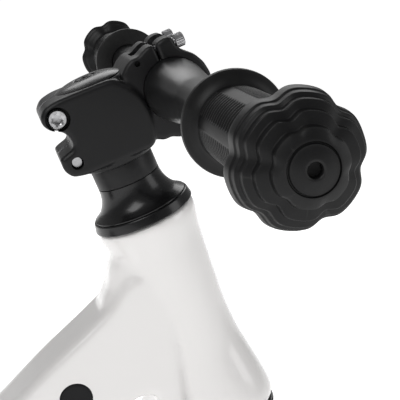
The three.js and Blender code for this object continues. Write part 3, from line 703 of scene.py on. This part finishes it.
def makeHeadset():
    spacer = softened([(14.6, -10.9), (17, -10.9), (17, -0.15), (14.6, -0.15)], 0.45, 3, True)
    addPiece("headset_spacer_turned", turned(spacer), steerPlace, "anodised", ["headset_spacer"])
    bell = [tuple(p) for p in flowing([(17, -11.2), (17.25, -14), (17.9, -17), (19.3, -20.3), (21.5, -23.4),
                                        (24.3, -25.6), (25.6, -26.4)], 5)]
    cover = [(14.6, -11.2)] + bell + [(25.6, -26.9), (22.5, -26.9), (17.6, -19), (14.6, -16)]
    addPiece("headset_cover_turned", turned(cover, 128), steerPlace, "gloss", ["headset_cover"])
    base = [(18.2, -27.2), (26.1, -27.2), (26.6, -27.6), (27.6, -31.6), (27.6, -32.2), (18.2, -32.2)]
    addPiece("headset_base_turned", turned(softened(base, 0.35, 3, True), 128), steerPlace, "gloss",
             ["headset_base_ring"])
    lower = [(20.6, -162.4), (25, -162.4), (25.4, -161), (24.7, -160.4), (25.4, -159.8), (25.2, -158.3),
             (20.6, -158.3)]
    addPiece("headset_lower_turned", turned(softened(lower, 0.3, 3, True), 128), steerPlace, "gloss",
             ["headset_lower_ring"])
    for node, inner, outer, low, high in (("headset_compression_ring", 14.6, 17.2, -34.7, -22),
                                          ("headset_bearing_upper", 15, 20.9, -42, -35),
                                          ("headset_bearing_lower", 15, 20.9, -158, -151),
                                          ("crown_race", 14.6, 20, -162.4, -158.3),
                                          ("steerer", 12.3, 14.3, -183, 39), ("star_nut", 3.2, 12, 16, 24)):
        key = "tube" if node == "steerer" else "bearing"
        addPiece(node + "_turned", ringOf(inner, outer, low, high), steerPlace, key, [node])
    print("headset made")


makeHeadset()


# stem, faceplate and their screws

stemValues = {"half": 20.5, "clampHalf": 18.9, "voxel": 0.55, "passes": 4, "pinchAt": -21.4,
              "pinchHeights": (35, 10.8)}


def stemSide():
    # side outline as (u, w), from the upper rear lug clockwise
    top = [(-25.5, 42.6), (-18.6, 44), (-8.3, 43.7), (6, 43.2), (12.5, 42.4)]
    front = [(18.8, 35.6), (22.4, 28.4), (23.4, 20.5), (21.6, 9.5), (19.4, 4.2), (16.1, 2.2)]
    foot = [(4.6, 2.2), (-9, 2.7), (-18.6, 3), (-26.5, 5), (-29.2, 9.6), (-28.8, 15.8)]
    notch = [(-26.6, 16.8), (-21, 18.2), (-19.5, 20.5), (-19.9, 24.9), (-21.7, 28.2), (-26.8, 30.7)]
    lug = [(-29.3, 34.6), (-29.3, 38.6)]
    return softened(top + front + foot + notch + lug, 3.2, 4, True)


def clampBack():
    upper = [(16, 41.5), (20.4, 45.4), (24, 47.3), (28, 47.2), (31, 48.8), (34.4, 50), (36.8, 49.4),
             (37.5, 47.4)]
    lower = [(u, 50 - w) for u, w in reversed(upper)]
    return softened(upper + lower, 1.2, 3, True)


def makeStem(values):
    half = values["half"]
    pinch = values["pinchAt"]
    shoulder = turned(softened([(0, 0.1), (19.2, 0.1), (20, 3), (20, 40), (18.6, 42.6), (0, 42.6)], 0.6))
    raw = together(plate(stemSide(), half, 2.6), plate(clampBack(), values["clampHalf"], 2.2), shoulder)
    skin = cast(raw, values["voxel"], values["passes"])
    toClamp = Matrix.Translation((38.7, 0, 25))
    cutters = [rod(14.6, -5, 50), block((-45, 0), (-1.3, 1.3), (-6, 50)),
               moved(rod(16.2, -45, 45, 96), sideways(toClamp)),
               block((26, 45), (-6.2, 6.2), (44.4, 56)), block((26, 45), (-6.2, 6.2), (-6, 5.6)),
               moved(rod(1.5, 15, 30, 24), sideways(Matrix.Translation((26, 0, 44.1)), -1))]
    for i, height in enumerate(values["pinchHeights"]):
        at = Matrix.Translation((pinch, 0, height))
        cutters.append(moved(rod(3.3, -45, 45, 48), sideways(at)))
        cutters.append(moved(rod(6.3, 14, 45, 64), sideways(at, 1 if i else -1)))
    for side in (-1, 1):
        for up in (-21.2, 21.2):
            at = Matrix.Translation((38.7, side * 14.2, 25 + up))
            cutters.append(moved(rod(2.45, -5, 6, 32), forwards(at)))
    skin = carved(skin, *cutters)
    stem = addPiece("stem_forging", skin, steerPlace, ("anodised", "cut"), ["stem"], sharp=36)
    inverse = steerPlace.inverted()
    for face in stem.data.polygons:       # sawn faces of the slit stay bare
        middle = inverse @ face.center
        if abs(middle.y) < 1.32 and middle.x < -14 and abs(face.normal.y) > 0.9:
            face.material_index = 1
    upper = [(38, 49.4), (42.2, 50.7), (46.2, 50.3), (47.5, 48.1), (47.7, 44.9), (49.8, 41.2), (54.5, 37.6),
             (57.7, 31.7), (58.9, 25)]
    outline = upper + [(u, 50 - w) for u, w in reversed(upper[:-1])]
    cover = cast(plate(softened(outline, 2, 4, True), values["clampHalf"] + 0.4, 2.2), values["voxel"],
                 values["passes"])
    holes = [moved(rod(16.2, -45, 45, 96), sideways(toClamp)), block((30, 37.95), (-45, 45), (-10, 60)),
             block((30, 70), (-7.5, 7.5), (43.4, 60)), block((30, 70), (-7.5, 7.5), (-10, 6.6))]
    for side in (-1, 1):
        for up in (-21.2, 21.2):
            at = Matrix.Translation((38.7, side * 14.2, 25 + up))
            holes.append(moved(rod(2.8, -6, 30, 32), forwards(at)))
    addPiece("stem_faceplate_forging", carved(cover, *holes), steerPlace, "anodised", ["stem_faceplate"],
             sharp=36)
    for row, up in (("upper", 21.2), ("lower", -21.2)):
        for name, side in (("left", 14.2), ("right", -14.2)):
            node = f"faceplate_bolt_{row}_{name}"
            screw = capScrew(3.7, 5, 2.4, 14, 1.9, 22, 0.3)
            addPiece(node + "_screw", screw, forwards(shifted(clampPlace, 9.5, side, up)), "bolt", [node],
                     sharp=28)
    for node, side, height in (("stem_pinch_bolt_upper", -1, 35), ("stem_pinch_bolt_lower", 1, 10.8)):
        place = sideways(shifted(steerPlace, pinch, side * 14.3, height), side)
        addPiece(node + "_screw", capScrew(5, 5, 3, 30, 2.6, 28, 0.3), place, "bolt", [node], sharp=28)
    dome = flowing([(18.3, 42.8), (18.3, 43.1), (16.6, 44.2), (12.6, 45.6), (8.2, 46.3), (6.5, 46.2)], 4)
    cap = [(3.4, 42), (14.5, 42), (14.5, 42.7)] + [tuple(p) for p in dome] + [(5.9, 45.7), (5.8, 44),
                                                                              (3.4, 44)]
    addPiece("stem_top_cap_turned", turned(softened(cap, 0.25, 2, True), 128), steerPlace, "gloss",
             ["stem_top_cap"])
    addPiece("top_cap_bolt_screw", capScrew(5.2, 2, 2.9, 33, 2.4, 30), shifted(steerPlace, 0, 0, 44.2),
             "anodised",
             ["top_cap_bolt"], sharp=28)
    print("stem made")


makeStem(stemValues)


# handlebar and grips

gripValues = {"steps": 216, "ribPitch": 3.0, "ribDepth": 0.9, "notch": 2.0,
              "rims": (23.3, 22.8, 21.8, 20.1, 17, 12.6)}


def makeBar():
    outer = [tuple(p) for p in flowing([(15.9, 0), (15.9, 24), (15.6, 28), (13.6, 50), (11.4, 70),
                                        (11.1, 78),
                                         (11.1, 226)], 5)]
    outside = [(r, -h) for r, h in reversed(outer)][:-1] + outer
    ring = [(8.9, -229), (10.6, -229)] + outside + [(10.6, 229), (8.9, 229)]
    addPiece("handlebar_tube", turned(ring, 128), sideways(clampPlace), "bar", ["handlebar"])


def dip(angle):
    return (0.5 - 0.5 * math.cos(6 * angle)) ** 3.4


def ribFade(angle):
    # ribs stop short of six smooth strips along the grip
    return min(1.0, max(0.0, (abs(math.cos(3 * angle)) - 0.42) * 7))


def domeHeight(radius):
    return 213.75 + 21.7 * math.sqrt(max(0.0, 1 - (radius / 23.31) ** 2))


def gripProfile(values):
    rows = [(11.4, 137.6), (20.7, 137.6), (21.3, 138), (21.5, 138.8), (21.5, 140), (21.2, 140.8),
            (19.5, 141.3),
            (17, 142.2), (15.9, 143.6)]
    height = 144.0
    while height < 207.5:
        rows.append((15.6, height))
        height += values["ribPitch"] / 8
    rows += [(16.2, 208), (18.2, 209.2), (20.6, 210), (20.9, 210.5), (20.5, 211), (22.3, 211.7),
             (22.7, 212.2),
             (22.4, 212.8), (23.2, 213.4)]
    dome = [(23.3, 213.75)]
    for outer, inner in zip(values["rims"], values["rims"][1:]):      # each step rises to the next rim
        low, high = domeHeight(outer), domeHeight(inner)
        dome += [(inner + 0.4, low + 0.2 * (high - low)), (inner, high)]
    dome = softened(dome, 0.38, 3)
    dome += [(r, domeHeight(r)) for r in (11.9, 11.2, 10.4, 9.6, 9)]
    dome += [(8.7, domeHeight(8.7) - 0.1), (8.4, domeHeight(8.4) - 0.7), (8.1, domeHeight(8.1) - 0.7),
             (7.8, domeHeight(7.8) + 0.1)]
    dome += [(r, domeHeight(r)) for r in (7.4, 6.6, 5.6, 4.6, 3.6)]
    rows += dome
    return rows + [(3.0, 235.2), (2.6, 234.9), (2.5, 234.2), (2.4, 232.4), (0, 232.2)]


def makeGrips(values):
    def warp(radius, height, angle):
        if 143.8 < height < 207.5 and radius > 15:
            field = 1.0 if 145 < height < 207 else 0.0
            wave = (0.5 - 0.5 * math.cos(2 * math.pi * (height - 145) / values["ribPitch"])) ** 0.6
            return radius - values["ribDepth"] * field * ribFade(angle) * (1 - wave), height
        if height > 208.5 and radius > 3.2:
            reach = min(1.0, max(0.0, (radius - 9.4) / 7))
            return radius - values["notch"] * dip(angle) * reach, height
        return radius, height

    ring = gripProfile(values)
    for node, side in (("grip_left", 1), ("grip_right", -1)):
        outer = turned([(0, 230.2), (11.4, 230.2)] + ring, values["steps"], warp)
        addPiece(node + "_moulding", outer, sideways(clampPlace, side), "grip", [node], sharp=50)
    print("bar and grips made")


makeBar()
makeGrips(gripValues)


# wheels and tyres

wheelValues = {"spokes": 8, "voxel": 1.3, "passes": 6, "treadRows": (-13.5, -4.6, 4.6, 13.5),
               "treadCount": 60}


def crownRadius(y):
    return 148.6 - 0.0115 * y * y - 0.000085 * y ** 4


def treadKnob(middle, across, long, wide, skew):
    # low block on the tyre's crown, bevelled, then bent round the tyre
    bm = bmesh.new()
    bmesh.ops.create_cube(bm, size=1)
    bmesh.ops.scale(bm, vec=(long, wide, 3.4), verts=bm.verts)
    bmesh.ops.bevel(bm, geom=bm.edges[:], offset=0.55, segments=2, affect="EDGES")
    for v in bm.verts:
        x = v.co.x + skew * v.co.y
        y = across + v.co.y
        radius = crownRadius(y) + min(v.co.z, 1.7) + 0.55
        angle = middle + x / 150
        v.co = Vector((radius * math.sin(angle), y, radius * math.cos(angle)))
    return meshOf(bm)


def makeTyre():
    crown = [(crownRadius(y), y) for y in (0, 4, 8, 12, 15)]
    half = crown + [(139.5, 20.6), (135, 23), (128, 24.8), (121.5, 24.2), (116.5, 21.4), (112.6, 18.6),
                    (111.7, 17.2),
                    (111.5, 13.9), (106.3, 13.9), (106.3, 0)]
    outer = [tuple(p) for p in flowing(half[:12], 4)] + half[12:-1]
    ring = outer + [(106.3, 0)] + [(r, -y) for r, y in reversed(outer[1:])]
    bead = [turned([(r + 117.6, y + side * 22.25) for r, y in
                    [(0.5 * math.cos(a), 0.5 * math.sin(a)) for a in (k * math.pi / 4 for k in range(8))]],
                   160)
            for side in (1, -1)]
    knobs = []
    for k in range(wheelValues["treadCount"]):
        for row, across in enumerate(wheelValues["treadRows"]):
            middle = 2 * math.pi * (k + 0.5 * (row in (0, 3))) / wheelValues["treadCount"]
            knobs.append(treadKnob(middle, across, 10.6, 6.6, 0.45 if across > 0 else -0.45))
    return moved(turned(ring, 192), sideways(Matrix())), bead, knobs


def castWheel(values):
    half = [(96, 0), (96.5, 10), (100, 15.5), (104, 17.5), (111, 17.5), (111, 14.3), (106, 14.3), (106, 0)]
    rim = turned(half + [(r, -y) for r, y in reversed(half[1:-1])], 160)
    hub = turned(softened([(0, -28), (17, -28), (17, -20), (20, -12), (20, 12), (17, 20), (17, 28),
                           (0, 28)], 1.5), 96)
    spokes = []
    for i in range(values["spokes"]):
        rings = [[Vector((a * wide, b * deep, r)) for a, b in egg(16, 2.6)]
                 for r, wide, deep in ((14, 10.5, 9.5), (30, 8.6, 9), (60, 7, 8.2), (86, 7.4, 7.8),
                                       (99, 10, 7.5))]
        spokes.append(moved(lofted(rings), Matrix.Rotation(2 * math.pi * i / values["spokes"], 4, "Y")))
    raw = together(moved(rim, sideways(Matrix())), moved(hub, sideways(Matrix())), *spokes)
    skin = cast(raw, values["voxel"], values["passes"])
    across = sideways(Matrix())
    cutters = [moved(rod(9, -60, 60), across), moved(rod(13.3, -60, -19), across),
               moved(rod(13.3, 19, 60), across)]
    return carved(skin, *cutters)


def makeWheels(values):
    tread, beads, knobs = makeTyre()
    across = sideways(Matrix())
    carcass = together(tread, *[moved(b, across) for b in beads], *knobs)
    wheel = castWheel(values)
    for name, place in (("front", frontPlace), ("rear", rearPlace)):
        addPiece(name + "_tyre_moulding", carcass.copy(), place, "tyre", [name + "_tyre"])
        addPiece(name + "_wheel_casting", wheel.copy(), place, "wheel", [name + "_wheel"], sharp=40)
        along = sideways(place)
        tubeMesh = ringOf(5.3, 7.5, -18.7, 18.7)
        addPiece(name + "_bearing_tube_turned", tubeMesh, along, "bearing", [name + "_bearing_tube"])
        for side, sign in (("left", 1), ("right", -1)):
            out = sideways(place, sign)
            race = [(5.3, 19.3), (13, 19.3), (13, 27.3), (11.4, 27.3), (11.2, 26.9), (7.4, 26.9),
                    (7.2, 27.3), (5.3, 27.3)]
            addPiece(f"{name}_bearing_{side}_turned", turned(softened(race, 0.2, 2, True)), out, "bearing",
                     [f"{name}_bearing_{side}"])
            addPiece(f"{name}_spacer_{side}_turned", ringOf(5.3, 8, 27.6, 38, 0.5), out, "bearing",
                     [f"{name}_spacer_{side}"])
        head = [(0, 51.2), (3, 51.2), (3, 54.2), (3.4, 54.6), (7.4, 54.6), (9, 52.8), (9, 48.6), (5, 48.6),
                (5, -50.3), (0, -50.3)]

        def socket(radius, height, angle):
            return (hexWall(radius, angle), height) if radius <= 3.05 and height > 51 else (radius, height)

        addPiece(name + "_axle_bolt", turned(softened(head, 0.3, 2), 96, socket), sideways(place, -1),
                 "bolt",
                 [name + "_axle"], sharp=28)
        nut = [(0, 51.9), (3, 51.9), (3, 54.2), (3.4, 54.6), (7.4, 54.6), (9, 52.8), (9, 48.6),
               (5.3, 48.6), (5.3, 50.6), (0, 50.6)]
        addPiece(name + "_axle_nut_turned", turned(softened(nut, 0.3, 2), 96, socket), along, "bolt",
                 [name + "_axle_nut"], sharp=28)
    print("wheels made")


makeWheels(wheelValues)


# seatpost, clamp and lever

seatValues = {"voxel": 0.5, "passes": 4, "ear": -27}


def makeSeatClamp(values):
    ear = values["ear"]
    middle = 43.5
    band = turned(softened([(0, 37), (21, 37), (21, 50), (0, 50)], 1.2))
    ears = plate(softened([(ear - 6, 38.5), (-10, 38.5), (-10, 48.5), (ear - 6, 48.5)], 3, 5, True), 7.5, 1)
    skin = cast(together(band, ears), values["voxel"], values["passes"])
    skin = carved(skin, rod(16.8, 30, 56), block((-60, 0), (-1.5, 1.5), (30, 56)),
                  moved(rod(2.9, -30, 30, 32), sideways(Matrix.Translation((ear, 0, middle)))))
    addPiece("seat_clamp_collar_turned", skin, seatPlace, "anodised", ["seat_clamp_collar"], sharp=36)
    across = shifted(seatPlace, ear, 0, middle)
    addPiece("seat_clamp_skewer_rod", turned(softened([(0, -14.5), (2.6, -14.5), (2.6, 11.1), (0, 11.1)],
                                                      0.4), 48),
             sideways(across), "bolt", ["seat_clamp_skewer"])
    nut = turned(softened([(2.9, -14.2), (5.7, -14.2), (6.5, -13.2), (6.5, -7.8), (2.9, -7.8)], 0.4, 3,
                          True), 96,
                 lambda r, h, a: (r - (0.18 * (0.5 - 0.5 * math.cos(30 * a)) if r > 6.2 else 0), h))
    addPiece("seat_clamp_nut_turned", nut, sideways(across), "bolt", ["seat_clamp_nut"])
    addPiece("seat_clamp_pin_turned", turned(softened([(0, -6), (3.2, -6), (3.2, 6), (0, 6)], 0.5), 48),
             shifted(seatPlace, ear, 14.6, middle), "bolt", ["seat_clamp_pin"])
    cam = moved(turned(softened([(0, -5.6), (6.6, -5.6), (6.6, 5.6), (0, 5.6)], 0.8)),
                Matrix.Translation((ear, 14.6, middle)))
    stations = flowing([(ear, 17.6, 4.6, 2.6), (ear + 12, 21.6, 5, 2.4), (ear + 28, 25.4, 5.6, 2.2),
                        (ear + 44, 26.6, 5, 2), (ear + 49, 26.4, 2.6, 1.4)], 5)
    arm = lofted([[Vector((x, y + a * thick, middle + b * high)) for a, b in egg(24, 2.6)]
                  for x, y, high, thick in stations])
    lever = cast(together(cam, arm), values["voxel"], values["passes"])
    lever = carved(lever, moved(rod(3.5, -10, 10, 32), Matrix.Translation((ear, 14.6, middle))),
                   block((ear - 20, ear + 3.6), (0, 14.6), (middle - 3.2, middle + 3.2)),
                   block((ear - 20, ear), (0, 30), (middle - 3.2, middle + 3.2)))
    addPiece("seat_clamp_lever_casting", lever, seatPlace, "anodised", ["seat_clamp_lever"], sharp=36)
    print("seat clamp made")


def makeSeatpost():
    railZ, at = 281.5, -130
    lines = [(12.7, -28)]
    for k in range(8):                    # height rings turned into the post
        height = 2 + 6 * k
        lines += [(12.7, height - 0.35), (12.5, height), (12.7, height + 0.35)]
    outside = [(0, -14), (10.5, -14), (10.5, -28)] + lines + [(12.7, 75.7), (0, 75.7)]
    post = moved(turned(outside), worldPlace.inverted() @ seatPlace)
    top = railZ - 7.2
    head = cast(plate(softened([(at - 21, top - 8), (at + 17, top - 8), (at + 17, top), (at - 21, top)], 2,
                               4, True),
                      13, 1.4), 0.6, 3)
    post = carved(post, block((at - 60, at + 60), (-60, 60), (top - 0.5, top + 40)))
    hole = moved(rod(3.5, -30, 30, 32), Matrix.Translation((at - 14.5, 0, top)))
    addPiece("seatpost_tube", carved(together(post, head), hole), worldPlace, "anodised", ["seatpost"])
    grooves = [moved(rod(3.8, -60, 60, 40), forwards(Matrix.Translation((at, y, railZ)))) for y in (-21,
                                                                                                    21)]
    for node, low, high in (("saddle_clamp_lower", -6.9, -0.6), ("saddle_clamp_upper", 0.6, 6.2)):
        shape = plate(softened([(at - 21, railZ + low), (at + 17, railZ + low), (at + 17, railZ + high),
                                (at - 21, railZ + high)], 1.6, 4, True), 27, 1.2)
        hole = moved(rod(3.5, -30, 30, 32), Matrix.Translation((at - 14.5, 0, railZ)))
        cutters = [g.copy() for g in grooves] + [hole]
        addPiece(node + "_casting", carved(shape, *cutters), worldPlace, "anodised", [node], sharp=36)
    down = Matrix.Translation((at - 14.5, 0, railZ - 15.5)) @ Matrix.Rotation(math.pi, 4, "X")
    addPiece("saddle_clamp_bolt_screw", capScrew(6, 5, 3.2, 22.5, 2.8, 30, 0.3), worldPlace @ down, "bolt",
             ["saddle_clamp_bolt"], sharp=28)
    nut = turned([(3.5, 6.5), (6, 6.5), (6.5, 6.9), (6.5, 11.1), (6, 11.5), (3.5, 11.5)], 96,
                 lambda r, h, a: (hexWall(r, a) if r > 4 else r, h))
    addPiece("saddle_clamp_nut_turned", nut, worldPlace @ Matrix.Translation((at - 14.5, 0, railZ)), "bolt",
             ["saddle_clamp_nut"], sharp=28)
    print("seatpost made")


makeSeatClamp(seatValues)
makeSeatpost()


# saddle

saddleValues = {"voxel": 0.0045, "pressure": 4.0, "cap": 0.006, "frames": 20, "stitch": 4.2, "groove": 1.1}


def saddleStations():
    # (x, half width, underside z, pad height)
    return flowing([(-37, 6, 300, 9), (-44, 17, 299, 17), (-60, 24, 298.4, 22), (-90, 28, 298, 24),
                    (-120, 35, 298, 25), (-150, 46, 298.6, 26), (-180, 58, 300, 28), (-206, 63, 302, 29),
                    (-226, 57, 305, 27), (-238, 40, 308, 21), (-243, 16, 310, 12)], 4)


def saddleRings(stations, low, high, across=22):
    rings = []
    for x, wide, z, tall in stations:
        top = []
        for i in range(across + 1):
            angle = math.pi * i / across
            y = wide * math.copysign(abs(math.cos(angle)) ** 0.72, math.cos(angle))
            top.append(Vector((x, y, high(z, tall, max(0.0, math.sin(angle)) ** 0.62, y))))
        under = [Vector((x, p.y, low(z, tall, p.y))) for p in reversed(top[1:-1])]
        rings.append(top + under)
    return rings


def swell(mesh, values):
    # cloth under a little pressure, held along its underside, with its movement capped
    start = baked(mesh, ("REMESH", {"mode": "VOXEL", "voxel_size": values["voxel"]}))
    work = bpy.data.objects.new("pad_work", start)
    scene.collection.objects.link(work)
    held = work.vertex_groups.new(name="held")
    for v in start.vertices:
        under = 0.298 + 0.0045 - 1.6 * v.co.y ** 2
        if v.co.z < under + 0.004 + max(0.0, (-0.18 - v.co.x)) * 0.16:
            held.add([v.index], 1.0, "REPLACE")
    cloth = work.modifiers.new("cloth", "CLOTH")
    settings = cloth.settings
    settings.use_pressure = True
    settings.uniform_pressure_force = values["pressure"]
    settings.effector_weights.gravity = 0
    settings.vertex_group_mass = "held"
    settings.quality = 6
    cloth.point_cache.frame_start = 1
    cloth.point_cache.frame_end = values["frames"]
    before = [v.co.copy() for v in start.vertices]
    for k in range(1, values["frames"] + 1):
        scene.frame_set(k)
    after = bpy.data.meshes.new_from_object(work.evaluated_get(bpy.context.evaluated_depsgraph_get()))
    scene.frame_set(1)
    bpy.data.objects.remove(work)
    for v, old in zip(after.vertices, before):
        step = v.co - old
        v.co = old + step * min(1.0, values["cap"] / max(step.length, 1e-9))
    return after


def seamLines():
    # sewn lines of the cover as (x, y), one down each side of the top panel
    half = [(-52, 9), (-75, 14), (-105, 18), (-140, 25), (-175, 35), (-205, 41), (-228, 36)]
    left = flowing(half, 10)
    return [left, [Vector((p.x, -p.y)) for p in left]]


def stitchMesh(lines, tree, spacing):
    found = []
    for line in lines:
        for offset in (-1.7, 1.7):
            travelled = 0.0
            for a, b in zip(line, line[1:]):
                run = (b - a)
                across = Vector((-run.y, run.x)).normalized() * offset
                travelled += run.length
                if travelled < spacing:
                    continue
                travelled = 0.0
                middle = a + across
                hits = []
                for part in (-1.25, 1.25):
                    at = middle + run.normalized() * part
                    hit = tree.ray_cast(Vector((at.x, at.y, 400)) * 0.001, Vector((0, 0, -1)))
                    hits.append(hit[0] * 1000 if hit[0] else None)
                if None in hits:
                    continue
                lift = Vector((0, 0, 0.22))
                arch = [hits[0] - lift, (hits[0] + hits[1]) / 2 + lift * 1.6, hits[1] - lift]
                found.append(tube(flowing(arch, 3), 0.36, 8))
    return together(*found)


def droop(y):
    # how far the saddle falls away beside its middle line
    return -0.0016 * y * y


def makeSaddle(values):
    stations = saddleStations()
    inside = [(x + (2.5 if x > -60 else 0) + (3 if x < -236 else 0), wide - 2.5, z, tall - 3.2)
              for x, wide, z, tall in stations]
    pad = lofted(saddleRings(inside, lambda z, tall, y: z + 4.8 + droop(y),
                             lambda z, tall, rise, y: z + 4.8 + droop(y) + max(tall, 6) * rise))
    pad = swell(moved(pad, worldPlace), values)
    pad = baked(pad, ("SMOOTH", {"factor": 0.5, "iterations": 3}),
                ("SUBSURF", {"levels": 2, "render_levels": 2}))
    lines = seamLines()
    for v in pad.vertices:
        here = Vector((v.co.x * 1000, v.co.y * 1000))
        if v.co.z < 0.312:
            continue
        near = min((here - p).length for line in lines for p in line[::3])
        if near < 12:
            near = min((here - p).length for line in lines for p in line)
            v.co.z -= 0.001 * values["groove"] * math.exp(-(near / 1.5) ** 2)
            v.co.z += 0.0004 * math.exp(-((near - 4) / 2.2) ** 2)
    cover = addPiece("saddle_pad_cover", pad, Matrix(), "leather", ["saddle_pad"], sharp=70)
    bm = bmesh.new()
    bm.from_mesh(cover.data)
    tree = BVHTree.FromBMesh(bm)
    bm.free()
    stitches = addPiece("saddle_pad_stitching", stitchMesh(lines, tree, values["stitch"]), worldPlace,
                        "thread",
                        body="seat", sharp=60)
    rim = []
    for side in (1, -1):
        edge = [Vector((x, side * (wide - 0.4), z + 4.6 + droop(wide))) for x, wide, z, tall in stations]
        rim += edge if side > 0 else edge[::-1]
    piping = tube([Vector(p) for p in flowing(rim, 2, True)], 1.35, 12)
    addPiece("saddle_pad_piping", piping, worldPlace, "leather", body="seat", sharp=60)
    inset = [(x, wide - 2, z, tall) for x, wide, z, tall in stations[2:-2]]
    shell = lofted(saddleRings(inset, lambda z, tall, y: z + droop(y),
                               lambda z, tall, rise, y: z + droop(y) + 3.9 * min(1, rise * 1.6)))
    bosses = [plate(softened([(-232, 292.7), (-206, 292.7), (-206, 304), (-232, 304)], 2.5, 4, True), 29,
                    1.5),
              plate(softened([(-76, 290.7), (-58, 290.7), (-58, 301), (-76, 301)], 2.5, 4, True), 9, 1.5)]
    ribs = [plate([(-205, 297.4), (-85, 295.5), (-85, 300), (-205, 302)], 1.4, 0.4) for _ in (0, 1, 2)]
    for rib, y in zip(ribs, (-14, 0, 14)):
        rib.transform(Matrix.Translation((0, y, 0)))
    skin = cast(together(shell, *bosses, *ribs), 1.0, 4)
    half = [(-219, 21, 295.5), (-212, 21, 293.5), (-200, 21, 286.5), (-180, 21, 281.5), (-160, 21, 281.5),
            (-130, 21, 281.5), (-106, 21, 281.5), (-92, 17, 284.5), (-76, 8, 292.5), (-67, 0, 295.5)]
    path = flowing(half + [(x, -y, z) for x, y, z in reversed(half[:-1])], 8)
    skin = carved(skin, tube(path, 3.8, 24))
    addPiece("saddle_shell_moulding", skin, worldPlace, "shell", ["saddle_shell"], sharp=40)
    addPiece("saddle_rails_bar", tube(path, 3.5, 32), worldPlace, "tube", ["saddle_rails"])
    print("saddle made, stitches:", len(stitches.data.polygons) // 56)


makeSaddle(saddleValues)


# floor and lights

studioValues = {"world": 0.26, "floor": (0.93, 0.93, 0.925), "glow": 0.8, "size": 26, "reach": 30,
                "aim": (0.05, 0, 0.3)}
softLights = {              # place, size and power
    "key_soft": ((-1.3, -1.2, 2.2), (1.5, 1.1), 24),
    "fill_soft": ((2.1, -0.9, 1.3), (1.0, 1.6), 10),
    "back_soft": ((0.3, 2.0, 1.9), (2.2, 1.0), 16),
}


def makeFloor(values):
    f = Finish("studio_floor")
    cloud = f.noise(3, 2)
    f.close({
        "Base Color": f.colour(cloud, tuple(c * 0.985 for c in values["floor"]), values["floor"]),
        "Roughness": 0.8 + cloud * 0.05, "Specular IOR Level": 0.1,
        "Emission Color": (1, 1, 1, 1), "Emission Strength": values["glow"],
    })
    bm = bmesh.new()
    bmesh.ops.create_grid(bm, x_segments=8, y_segments=8, size=values["size"])
    floor = bpy.data.objects.new("studio_floor", meshOf(bm))
    floor.data.materials.append(f.material)
    scene.collection.objects.link(floor)
    white = Finish("studio_backdrop")
    white.close({"Base Color": (1, 1, 1, 1), "Emission Color": (1, 1, 1, 1), "Emission Strength": 1.0})
    bm = bmesh.new()
    bmesh.ops.create_icosphere(bm, subdivisions=4, radius=values["reach"])
    backdrop = bpy.data.objects.new("studio_backdrop", meshOf(bm))
    backdrop.data.materials.append(white.material)
    backdrop.visible_diffuse = False      # seen, but lights nothing
    backdrop.visible_glossy = False
    backdrop.visible_shadow = False
    scene.collection.objects.link(backdrop)


def makeLight(name, place, target, size, power):
    data = bpy.data.lights.new(name, "AREA")
    data.shape = "RECTANGLE"
    data.size, data.size_y = size
    data.energy = power
    light = bpy.data.objects.new(name, data)
    scene.collection.objects.link(light)
    light.location = place
    light.rotation_mode = "QUATERNION"
    light.rotation_quaternion = (Vector(target) - Vector(place)).to_track_quat("-Z", "Y")


makeFloor(studioValues)
world = bpy.data.worlds.new("studio")
scene.world = world
world.use_nodes = True
world.node_tree.nodes["Background"].inputs["Color"].default_value = (1, 1, 1, 1)
world.node_tree.nodes["Background"].inputs["Strength"].default_value = studioValues["world"]
scene.view_settings.view_transform = "Standard"
for name, (place, size, power) in softLights.items():
    makeLight(name, place, studioValues["aim"], size, power)
print("studio made, pieces:", len(madePieces))

for node, thing in frame["nodes"].items():       # any node still shown takes a made finish too
    if not thing.hide_render:
        for place in thing.material_slots:
            place.material = finishes["bearing"]
        print("carried over:", node)
